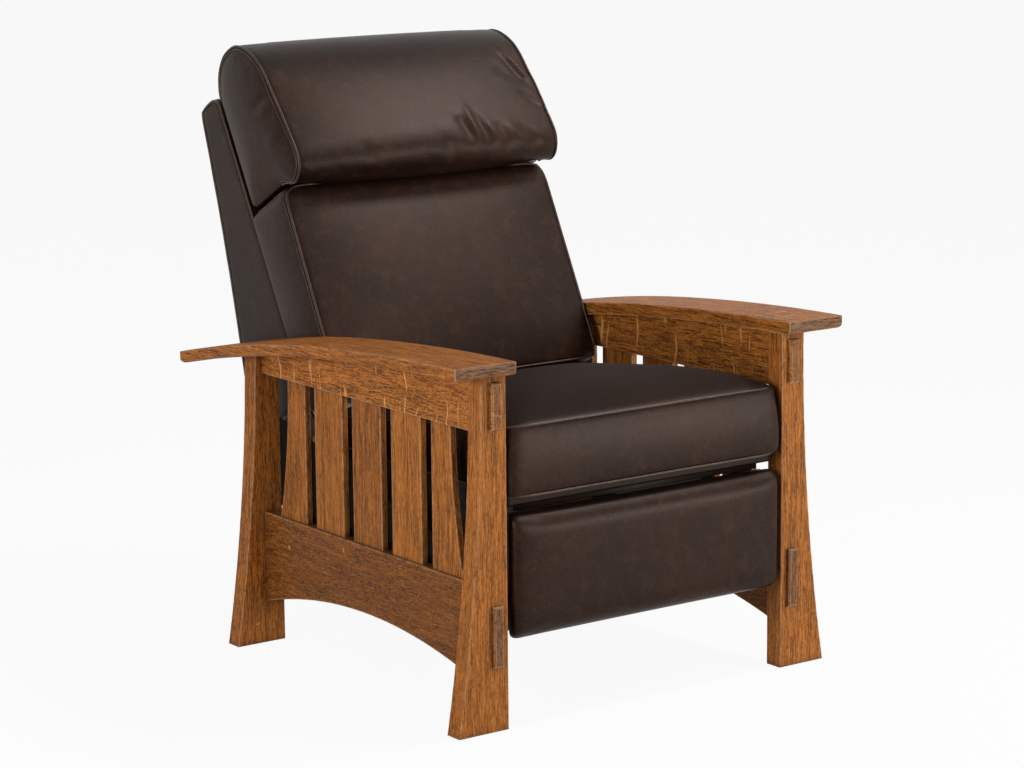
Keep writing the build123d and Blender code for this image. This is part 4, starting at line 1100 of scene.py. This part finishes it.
@dataclass
class SeatGroup:
    """Boxed seat cushion with two welts, on a rail wrapped in hide that is darkened as painted shade."""

    leather: bpy.types.Material
    shaded_leather: bpy.types.Material
    welt_leather: bpy.types.Material
    half: float = 0.2725
    front: float = 0.002
    rear: float = 0.552
    box_front: float = 0.109
    box_rear: float = 0.040
    crown: float = 0.057
    crown_y: float = 0.20
    flare: float = 0.006
    bow: float = 0.0035
    droop: float = 0.008
    droop_reach: float = 0.03
    front_radius: float = 0.013
    rear_radius: float = 0.030
    welt_radius: float = 0.0025
    welt_proud: float = 0.0016
    rail_radius: float = 0.004
    lip_y: float = 0.0255
    lip_thick: float = 0.006
    lip_low: float = 0.3425
    lip_reach: float = 0.247
    lip_tuck: float = 0.003
    lip_radius: float = 0.0018
    inflation: Inflation = field(default_factory=lambda: Inflation(cap=0.010))

    def outline(self, inset: float) -> list[Pair]:
        """Plan of the cushion, moved in by an inset."""
        low = (-self.half + inset, self.front + inset)
        high = (self.half - inset, self.rear - inset)
        return rounded_rectangle(low, high, (self.front_radius,) * 2 + (self.rear_radius,) * 2)

    def seam_height(self, y: float) -> float:
        """Height of the upper seam above the webbing."""
        share = (y - self.front) / (self.rear - self.front)
        return self.box_front + (self.box_rear - self.box_front) * share

    def ring(self, share: float, level: float, inset: float = 0.0) -> Ring:
        """Ring of the cushion.

        Args:
            share: Share of the outline's size.
            level: Share of the boxing's height, and past 1 also the share of the crown's height.
            inset: How far the outline is moved in first.

        Returns:
            The ring.
        """
        points = []
        wall = min(level, 1.0)
        for x, y in self.outline(inset):
            near_x, near_y = x * share, self.crown_y + (y - self.crown_y) * share
            hang = self.droop * max(0.0, 1.0 - (near_y - self.front) / self.droop_reach)
            crown = self.crown * max(level - 1.0, 0.0)
            height = self.seam_height(near_y) * wall + crown - hang * (1.0 - wall)
            points.append(from_side(near_x, near_y, SEAT_TOP + height))
        return points

    def boxing_inset(self, level: float) -> float:
        """Inset of the boxing at a level, below 0 because its foot flares and its middle bows out."""
        bow = self.bow * 4.0 * level * (1.0 - level) if level > 0.1 else 0.0
        return -self.flare * (1.0 - level) - bow

    def build_cushion(self) -> None:
        """Makes the cushion and its welts."""
        rings = [self.ring(share, 0.01, -self.flare) for share in (0.35, 0.7, 0.93)]
        rings += [self.ring(1.0, level, self.boxing_inset(level)) for level in (0.04, 0.2, 0.4, 0.6, 0.8)]
        rings += [
            self.ring(share, 2.0 - share ** 2.8)
            for share in (1.0, 0.975, 0.94, 0.89, 0.82, 0.72, 0.6, 0.46, 0.32, 0.18, 0.07)
        ]
        cushion = skin("seat_cushion_cover", rings)
        top, bottom = self.ring(1.0, 1.0), self.ring(1.0, 0.04, -self.flare)
        self.inflation.fill(
            cushion,
            [dense(top, closed=True), dense(bottom, closed=True)],
            lambda places: (places[:, 2] < SEAT_TOP + 0.003).astype(float),
        )
        smooth_out(cushion)
        dress(cushion, self.leather, "chair_frame")
        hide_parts("seat_cushion")
        welt = Piping(self.welt_leather, self.welt_radius, self.welt_proud)
        welt.sew("seat_top_welt", cushion, top, "chair_frame", closed=True)
        welt.sew("seat_bottom_welt", cushion, bottom, "chair_frame", closed=True)

    def build_rail(self) -> None:
        """Wraps the front rail in hide darkened as painted shade and hangs a lip of that hide under it."""
        low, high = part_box("seat_front_rail")
        outline = rounded_rectangle((low.y, low.z), (high.y, high.z - 0.0005), (self.rail_radius,) * 4)
        middle = ((low.y + high.y) / 2.0, (low.z + high.z) / 2.0)
        ends = [(low.x, 0.94), (low.x + 0.002, 0.985), (low.x + 0.005, 1.0)]
        stations = [*ends, (0.0, 1.0), *mirrored(ends)]
        rail = skin("seat_rail_wrap", [upright(x, shrunk(outline, middle, share)) for x, share in stations])
        rail.data.shade_smooth()
        dress(rail, self.shaded_leather, "chair_frame")
        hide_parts("seat_front_rail")
        lip_outline = rounded_rectangle(
            (self.lip_y - SETBACK, self.lip_low),
            (self.lip_y + self.lip_thick - SETBACK, low.z + self.lip_tuck),
            (self.lip_radius,) * 4,
        )
        lip = skin("seat_rail_lip", [upright(x, lip_outline) for x in (-self.lip_reach, 0.0, self.lip_reach)])
        lip.data.shade_smooth()
        dress(lip, self.shaded_leather, "chair_frame")

    def build(self) -> None:
        """Makes the seat."""
        self.build_cushion()
        self.build_rail()


@dataclass
class BackGroup:
    """Upholstered slab of the back, its lower cushion and the pillow over its top."""

    leather: bpy.types.Material
    side_leather: bpy.types.Material
    welt_leather: bpy.types.Material
    slab_half: float = 0.2668
    slab_profile: tuple[Pair, ...] = (
        (-0.2108, 0.0014), (0.0, 0.0), (0.0, 0.564), (-0.017, 0.574), (-0.0666, 0.5708),
    )
    slab_front: tuple[Pair, ...] = ((0.0, 0.0), (0.0, 0.28), (0.0, 0.562), (-0.017, 0.5725), (-0.0666, 0.570))
    slab_middle: Pair = (-0.07, 0.28)
    slab_inset: float = 0.0015
    slab_hollow: float = 0.0105
    cushion_half: float = 0.2735
    cushion_foot: float = -0.028
    cushion_top: float = 0.344
    cushion_foot_depth: float = 0.115
    cushion_depth: float = 0.130
    cushion_crown: float = 0.013
    cushion_radius: float = 0.014
    foot_radius: float = 0.012
    pillow_half: float = 0.2700
    pillow_middle: Pair = (0.10, 0.46)
    pillow_crown: float = 0.013
    pillow_drawn: float = 0.016
    pillow_ends: tuple[Pair, ...] = (
        (0.25, 0.012), (0.5, 0.011), (0.72, 0.008), (0.88, 0.0045), (0.96, 0.0018),
    )
    welt_count: int = 104
    welt_radius: float = 0.0024
    ridge_inset: float = 0.0074
    ridge_radius: float = 0.0014
    swell_reach: float = 0.0055
    swell_height: float = 0.462
    swell_half: float = 0.045
    slab_inflation: Inflation = field(default_factory=lambda: Inflation(cloth=False))
    cushion_inflation: Inflation = field(default_factory=lambda: Inflation(cap=0.010))
    pillow_inflation: Inflation = field(default_factory=lambda: Inflation(cap=0.013))

    def slab_outline(self) -> list[Pair]:
        """Side view of the slab in the back's plane, from its rear foot round the front."""
        rear_foot, front_foot, front_top, top, rear_top = self.slab_profile
        points = [rear_foot, front_foot, front_top, top]
        points += arc(rear_top, rear_foot, self.slab_hollow, 24)
        return points

    def build_slab(self) -> None:
        """Makes the slab's cover and the welts along its edges."""
        outline = even(self.slab_outline(), 240)
        edge = self.slab_half - self.slab_inset
        ends = [(-edge, 0.995), (-edge + 0.002, 1.0)]
        rings = [
            [from_back(x, *point) for point in shrunk(outline, self.slab_middle, share)]
            for x, share in (*ends, *((x, 1.0) for x in SPREAD), *mirrored(ends))
        ]
        slab = skin("back_slab_cover", rings)
        rear_foot, rear_top = self.slab_profile[0], self.slab_profile[-1]
        rear_line = (*arc(rear_top, rear_foot, self.slab_hollow, 16), rear_foot)
        lines = {"front": self.slab_front, "rear": rear_line}
        corners = {
            f"slab_{kind}_welt_{name}": [from_back(side * edge, *point) for point in line]
            for side, name in SIDES
            for kind, line in lines.items()
        }
        self.slab_inflation.fill(slab, [dense(path) for path in corners.values()])
        smooth_out(slab)
        dress(slab, self.side_leather, "back")
        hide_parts("back_side_panel_left", "back_side_panel_right", "outer_back_panel", "back_webbing")
        welt = Piping(self.welt_leather, self.welt_radius, 0.0012)
        for name, path in corners.items():
            welt.sew(name, slab, dense(path, step=SEAM_STEP), "back")

    def depth_at(self, share: float) -> float:
        """Depth of the lower cushion at a share of its height."""
        return self.cushion_foot_depth + (self.cushion_depth - self.cushion_foot_depth) * share

    def cushion_ring(self, share: float, depth_share: float, crown: float = 0.0) -> Ring:
        """Ring of the lower cushion.

        Args:
            share: Share of the front outline's size.
            depth_share: Share of the depth from the slab to the front seam.
            crown: Height above the front seam.

        Returns:
            The ring.
        """
        middle = (self.cushion_foot + self.cushion_top) / 2.0
        outline = rounded_rectangle(
            (-self.cushion_half, self.cushion_foot),
            (self.cushion_half, self.cushion_top),
            (self.foot_radius,) * 2 + (self.cushion_radius,) * 2,
        )
        points = []
        for x, up in outline:
            near_x, near_up = x * share, middle + (up - middle) * share
            run = (near_up - self.cushion_foot) / (self.cushion_top - self.cushion_foot)
            points.append(from_back(near_x, self.depth_at(run) * depth_share + crown, near_up))
        return points

    def build_cushion(self) -> None:
        """Makes the lower cushion and its welt."""
        rings = [self.cushion_ring(share, 0.0, 0.0005) for share in (0.4, 0.8, 0.985)]
        rings += [self.cushion_ring(1.0, depth_share) for depth_share in (0.03, 0.2, 0.4, 0.6, 0.8)]
        rings += [
            self.cushion_ring(share, 1.0, self.cushion_crown * (1.0 - share ** 2.2))
            for share in (1.0, 0.97, 0.92, 0.84, 0.72, 0.58, 0.42, 0.26, 0.1)
        ]
        cushion = skin("back_cushion_cover", rings)
        seam = self.cushion_ring(1.0, 1.0)
        self.cushion_inflation.fill(
            cushion,
            [dense(seam, closed=True)],
            lambda places: ((places - BACK_FOOT) @ BACK_FACE < 0.004).astype(float),
        )
        smooth_out(cushion)
        dress(cushion, self.leather, "back")
        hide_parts("back_cushion")
        welt = Piping(self.welt_leather, self.welt_radius, 0.0014)
        welt.sew("back_cushion_welt", cushion, seam, "back", closed=True)
        height = self.cushion_top - self.cushion_foot
        top = [(self.cushion_depth - 0.01, self.cushion_top - 0.004), (0.03, self.cushion_top - 0.004)]
        front = [
            (self.depth_at(share) - self.ridge_inset, self.cushion_foot + height * share)
            for share in (0.06, 0.5, 0.93)
        ]
        ridge = Piping(self.welt_leather, self.ridge_radius, 0.0004)
        for side, name in SIDES:
            for kind, line in (("top_seam", top), ("front_ridge", front)):
                path = dense([from_back(side * self.cushion_half, *point) for point in line], step=SEAM_STEP)
                ridge.sew(f"back_cushion_{kind}_{name}", cushion, path, "back")

    def pillow_profile(self, crown: float, drawn: float) -> list[Pair]:
        """Side view of the pillow in the back's plane.

        Args:
            crown: How far its face stands out.
            drawn: How far its rear is drawn forward.

        Returns:
            The outline, from the rear top over the front.
        """
        top = (0.112, 0.616 + crown * 0.4)
        brow = (0.176 + crown, 0.511)
        nose = (0.198 + crown, 0.385)
        lip = (0.166 + crown, 0.331)
        tuck = (0.140, 0.346)
        rear_foot, rear_top = (drawn, 0.348), (drawn, 0.559)
        points = arc(rear_top, top, 0.027) + arc(top, brow, 0.0153) + arc(brow, nose, 0.001)
        points += arc(nose, lip, 0.014) + arc(lip, tuck, 0.002, 3)
        points += arc(tuck, rear_foot, 0.0, 6) + arc(rear_foot, rear_top, 0.0, 8)
        return even(points, 170)

    def pillow_creases(self) -> list[Crease]:
        """Soft folds at the pillow's left end and pleats along its end seams."""
        face = Vector(BACK_FACE)
        face_out = 0.2
        # Each fold by its ends, as x and height in the back's plane, and by its width and depth
        folds = [
            ((0.228, 0.552), (0.264, 0.474), 0.006, -0.0030),
            ((0.214, 0.546), (0.254, 0.472), 0.007, 0.0042),
            ((0.190, 0.512), (0.250, 0.476), 0.012, 0.0034),
            ((0.222, 0.460), (0.266, 0.420), 0.008, 0.0040),
            ((0.088, 0.438), (0.098, 0.360), 0.006, -0.0030),
            ((0.066, 0.416), (0.084, 0.362), 0.010, 0.0050),
            ((0.100, 0.418), (0.118, 0.356), 0.009, 0.0038),
            ((0.121, 0.400), (0.142, 0.352), 0.007, -0.0018),
            ((0.142, 0.398), (0.160, 0.350), 0.008, 0.0026),
            ((0.164, 0.396), (0.192, 0.350), 0.008, -0.0018),
            ((0.185, 0.392), (0.221, 0.352), 0.009, 0.0026),
            ((0.220, 0.386), (0.248, 0.340), 0.008, -0.0018),
            ((0.014, 0.376), (0.050, 0.340), 0.011, 0.0024),
            ((-0.150, 0.380), (-0.120, 0.345), 0.010, 0.0018),
        ]
        creases = [
            Crease(from_back(x, face_out, up), from_back(far_x, face_out, far_up), width, depth, face)
            for (x, up), (far_x, far_up), width, depth in folds
        ]
        # Each pleat by its ends, as distance forward and height in the back's plane
        pleats = [
            ((0.105, 0.588), (0.130, 0.590), 0.0035, 0.0016),
            ((0.118, 0.580), (0.143, 0.583), 0.0035, 0.0016),
            ((0.123, 0.568), (0.149, 0.571), 0.0035, 0.0016),
            ((0.129, 0.556), (0.154, 0.558), 0.0035, 0.0014),
            ((0.121, 0.492), (0.168, 0.495), 0.006, 0.0022),
            ((0.132, 0.470), (0.174, 0.480), 0.006, -0.0016),
            ((0.132, 0.424), (0.181, 0.421), 0.008, -0.0018),
        ]
        for side, _ in SIDES:
            end = side * self.pillow_half
            creases += [
                Crease(from_back(end, *start), from_back(end, *stop), width, depth, Vector((side, 0.0, 0.0)))
                for start, stop, width, depth in pleats
            ]
        return creases

    def pillow_ring(self, x: float, size: float = 1.0, bulk: float = 0.0, swell: float = 0.0) -> Ring:
        """Ring of the pillow.

        Args:
            x: Distance to the sitter's left of the middle.
            size: Share of the profile's size.
            bulk: Share of the full crown, with which its rear is less drawn forward.
            swell: How far its end bulges out where it is fullest.

        Returns:
            The ring.
        """
        profile = self.pillow_profile(self.pillow_crown * bulk, self.pillow_drawn * (1.0 - bulk))
        points = []
        for (_, up), place in zip(profile, shrunk(profile, self.pillow_middle, size)):
            fullness = max(0.0, 1.0 - ((up - self.swell_height) / self.swell_half) ** 2)
            points.append(from_back(x + swell * fullness, *place))
        return points

    def build_pillow(self) -> None:
        """Makes the pillow with its end panels and their welted seams."""
        half = self.pillow_half
        right_seam, left_seam = self.pillow_ring(-half), self.pillow_ring(half, swell=self.swell_reach)
        rings = [self.pillow_ring(-half - proud, size) for size, proud in self.pillow_ends]
        rings.append(right_seam)
        rings += [
            self.pillow_ring(half * share, bulk=1.0 - abs(share) ** 2.6)
            for share in (-0.9, -0.75, -0.55, -0.3, 0.0, 0.3, 0.55, 0.75, 0.9)
        ]
        rings.append(left_seam)
        rings += [self.pillow_ring(half + proud, size) for size, proud in reversed(self.pillow_ends)]
        pillow = skin("headrest_pillow_cover", rings)
        self.pillow_inflation.fill(pillow, [dense(right_seam, closed=True), dense(left_seam, closed=True)])
        crumple(pillow, self.pillow_creases())
        smooth_out(pillow)
        dress(pillow, self.leather, "back")
        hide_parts("headrest_pillow")
        welt = Piping(self.welt_leather, self.welt_radius, 0.0014)
        ridge = Piping(self.welt_leather, self.ridge_radius, 0.0005)
        for (_, name), seam in zip(SIDES, (right_seam, left_seam)):
            shown = seam[:self.welt_count]
            centre = from_back(seam[0].x, *self.pillow_middle)
            inner = [point + (centre - point).normalized() * self.ridge_inset for point in shown]
            welt.sew(f"pillow_welt_{name}", pillow, shown, "back")
            ridge.sew(f"pillow_ridge_{name}", pillow, inner, "back")

    def build(self) -> None:
        """Makes the back."""
        self.build_slab()
        self.build_cushion()
        self.build_pillow()


@dataclass
class FootrestGroup:
    """Wrapped pad of the footrest."""

    leather: bpy.types.Material
    half: float = 0.270
    low: float = 0.140
    high: float = 0.344
    front: float = -0.009
    rear: float = 0.0215
    round_front: float = 0.022
    round_rear: float = 0.003
    ends: tuple[Pair, ...] = ((0.0, 0.006), (0.0012, 0.0025), (0.004, 0.0))
    inflation: Inflation = field(default_factory=lambda: Inflation(cap=0.004))

    def build(self) -> None:
        """Makes the pad."""
        outline = rounded_rectangle(
            (self.front, self.low),
            (self.rear, self.high),
            (self.round_front, self.round_rear, self.round_rear, self.round_front),
        )
        middle = ((self.front + self.rear) / 2.0, (self.low + self.high) / 2.0)
        height, depth = self.high - self.low, self.rear - self.front
        ends = [(-self.half + reach, inset) for reach, inset in self.ends]
        rings = []
        for x, inset in (*ends, *((x, 0.0) for x in SPREAD), *mirrored(ends)):
            near = shrunk(outline, middle, 1.0 - 2.0 * inset / depth, 1.0 - 2.0 * inset / height)
            rings.append([from_side(x, *point) for point in near])
        pad = skin("footrest_pad_cover", rings)
        seams = [dense(rings[2], closed=True), dense(rings[-3], closed=True)]
        rear_y = self.rear - SETBACK - 0.004
        self.inflation.fill(pad, seams, lambda places: (places[:, 1] > rear_y).astype(float))
        smooth_out(pad)
        dress(pad, self.leather, "footrest")
        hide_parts("footrest_pad")


@dataclass
class SideShadeSheet:
    """Black cloth tacked behind the slats of each side as painted shade for the dark inside of the chair; it
    also hides the works.
    """

    cloth: bpy.types.Material
    rail_face: float = 0.2912
    slat_face: float = 0.2962
    thickness: float = 0.0008
    foot: float = 0.195
    turn: float = 0.236
    turn_height: float = 0.012
    front: float = -0.405
    rear: float = 0.186
    top: tuple[Pair, ...] = ((-0.405, 0.262), (-0.200, 0.300), (0.040, 0.365), (0.186, 0.400))
    columns: int = 25

    def build(self) -> None:
        """Makes the painted-shade cloth of both sides."""
        across = np.linspace(self.front, self.rear, self.columns)
        heights = np.interp(across, *zip(*self.top))
        length, tallest = self.rear - self.front, self.top[-1][1] - self.foot
        cut = float(np.mean(heights) - self.foot) * length
        for side, name in SIDES:
            mesh = bmesh.new()
            rows = []
            for y, height in zip(across, heights):
                line = (
                    (self.rail_face, self.foot),
                    (self.rail_face, self.turn),
                    (self.slat_face, self.turn + self.turn_height),
                    (self.slat_face, height),
                )
                rows.append([mesh.verts.new((side * x, y, z)) for x, z in line])
            for row, after in zip(rows, rows[1:]):
                for low in range(3):
                    mesh.faces.new((row[low], after[low], after[low + 1], row[low + 1]))
            panel = finished(f"side_shade_sheet_{name}", mesh)
            thick = panel.modifiers.new("thickness", "SOLIDIFY")
            thick.thickness, thick.offset = self.thickness, 0.0
            settle(panel)
            dress(panel, self.cloth, "chair_frame")


@dataclass
class Mechanism:
    """Steel links, plates and fasteners, and the dark hidden rails, which keep their CAD shapes."""

    black: Steel = Steel(paint(24, 24, 25), 0.0, 0.42)
    zinc: Steel = Steel(paint(150, 150, 148), 1.0, 0.34)
    webbing: Webbing = Webbing()
    rails: FrameWood = FrameWood()

    def build(self) -> None:
        """Dresses every hidden node by the record's slot."""
        finishes = {
            "black_steel": self.black.sheet("black_steel_paint"),
            "zinc_steel": self.zinc.sheet("zinc_plate"),
            "webbing": self.webbing.cloth("black_webbing"),
            "frame_wood": self.rails.board("stained_rail"),
        }
        for entry in frame["record"]["subparts"]:
            finish = finishes.get(entry["material_slot"])
            if finish is not None:
                coat(entry["node"], finish)


@dataclass(frozen=True)
class Lamp:
    """Soft rectangular lamp.

    Attributes:
        name: Its name.
        place: Its middle.
        aim: What it points at.
        size: Its width and height.
        power: Its power in watts.
    """

    name: str
    place: Triple
    aim: Triple
    size: Pair
    power: float

    def hang(self) -> None:
        """Adds it to the scene."""
        data = bpy.data.lights.new(self.name, "AREA")
        data.shape = "RECTANGLE"
        data.size, data.size_y = self.size
        data.energy = self.power
        lamp = linked(self.name, data)
        lamp.location = self.place
        lamp.rotation_euler = (Vector(self.aim) - Vector(self.place)).to_track_quat("-Z", "Y").to_euler()


@dataclass
class Studio:
    """Pale floor, soft lamps and the camera."""

    camera_place: Triple = (-2.96193, -4.19641, 1.44082)
    yaw: float = 0.6242
    pitch: float = 0.1907
    roll: float = -0.0100
    lens: float = 107.27
    sensor: float = 36.0
    floor_size: float = 60.0
    floor_white: float = 0.93
    floor_colour: Colour = paint(240, 239, 237)
    room_light: float = 0.18
    white: Colour = (1.0, 1.0, 1.0, 1.0)
    lamps: tuple[Lamp, ...] = (
        Lamp("key_lamp", (-0.9, -3.5, 1.5), (0.0, 0.0, 0.5), (1.0, 1.0), 8.0),
        Lamp("side_lamp", (-3.4, -0.9, 1.2), (0.0, 0.0, 0.5), (1.0, 1.0), 60.0),
        Lamp("high_lamp", (1.62, -0.84, 3.15), (0.0, 0.0, 0.9), (0.65, 0.65), 50.0),
        Lamp("back_lamp", (1.75, -1.85, 2.5), (0.0, 0.0, 0.55), (0.6, 0.6), 14.0),
        Lamp("low_lamp", (1.9, -2.95, 0.46), (0.0, -0.3, 0.42), (0.7, 0.3), 42.0),
    )

    def build_camera(self) -> None:
        """Puts the camera where the photograph was taken from."""
        data = bpy.data.cameras.new("camera")
        data.lens, data.sensor_width = self.lens, self.sensor
        data.clip_start, data.clip_end = 0.1, 100.0
        forward = Vector((
            math.sin(self.yaw) * math.cos(self.pitch),
            math.cos(self.yaw) * math.cos(self.pitch),
            -math.sin(self.pitch),
        ))
        level = Vector((math.cos(self.yaw), -math.sin(self.yaw), 0.0))
        rise = level.cross(forward)
        right = level * math.cos(self.roll) + rise * math.sin(self.roll)
        up = rise * math.cos(self.roll) - level * math.sin(self.roll)
        camera = linked("camera", data)
        turn = Matrix((right, up, -forward)).transposed()
        camera.matrix_world = Matrix.Translation(self.camera_place) @ turn.to_4x4()
        bpy.context.scene.camera = camera

    def build_floor(self) -> None:
        """Lays the floor, which shows white where nothing shades it."""
        mesh = bmesh.new()
        bmesh.ops.create_grid(mesh, x_segments=1, y_segments=1, size=self.floor_size / 2.0)
        floor = finished("floor", mesh)
        graph = Graph.of_material("pale_floor")
        matt = graph.node("ShaderNodeBsdfDiffuse", None, {"Color": self.floor_colour})
        bright = graph.node("ShaderNodeEmission", None, {"Color": self.white, "Strength": 1.0})
        share = graph.looked_at() * self.floor_white
        surface = graph.node("ShaderNodeMixShader", None, {0: share, 1: matt, 2: bright})
        graph.node("ShaderNodeOutputMaterial", None, {"Surface": surface})
        floor.data.materials.append(graph.owner)

    def build_room(self) -> None:
        """Surrounds the chair with white, which sheds only a faint light on it."""
        graph = Graph(bpy.data.worlds.new("pale_room"))
        strength = graph.looked_at() * (1.0 - self.room_light) + self.room_light
        glow = graph.node("ShaderNodeBackground", None, {"Color": self.white, "Strength": strength})
        graph.node("ShaderNodeOutputWorld", None, {"Surface": glow})
        bpy.context.scene.world = graph.owner

    def build(self) -> None:
        """Makes the studio."""
        bpy.context.scene.view_settings.view_transform = "Standard"
        self.build_camera()
        self.build_floor()
        for lamp in self.lamps:
            lamp.hang()
        self.build_room()


def main() -> None:
    """Builds the chair's looks in order."""
    logging.basicConfig(level=logging.INFO, format="%(name)s: %(message)s")
    hide = Leather().hide("brown_hide")
    side_hide = Leather().hide("brown_hide_sides", 0.12)
    # The welts' hide is lighter, partly wear and partly a painted highlight along their ridges
    worn_highlit_welt_hide = Leather(
        deep=paint(44, 32, 26), warm=paint(58, 44, 37), dusty=paint(84, 66, 56), roughness=0.26, index=1.4,
    ).hide("brown_hide_welts_worn_highlit")
    # A darker copy of the hide: painted shade for the rail wrap and lip under the seat
    shaded_hide = Leather().hide("brown_hide_painted_shade", 0.6)
    OakFrame().build()
    Mechanism().build()
    SeatGroup(Leather(dulled=0.42).hide("brown_hide_seat"), shaded_hide, worn_highlit_welt_hide).build()
    BackGroup(hide, side_hide, worn_highlit_welt_hide).build()
    FootrestGroup(hide).build()
    # The black side sheet is painted shade for the dark inside of the chair
    SideShadeSheet(Webbing(paint(12, 11, 11), paint(6, 5, 5)).cloth("black_shade_sheet")).build()
    Studio().build()


if __name__ == "__main__":
    main()
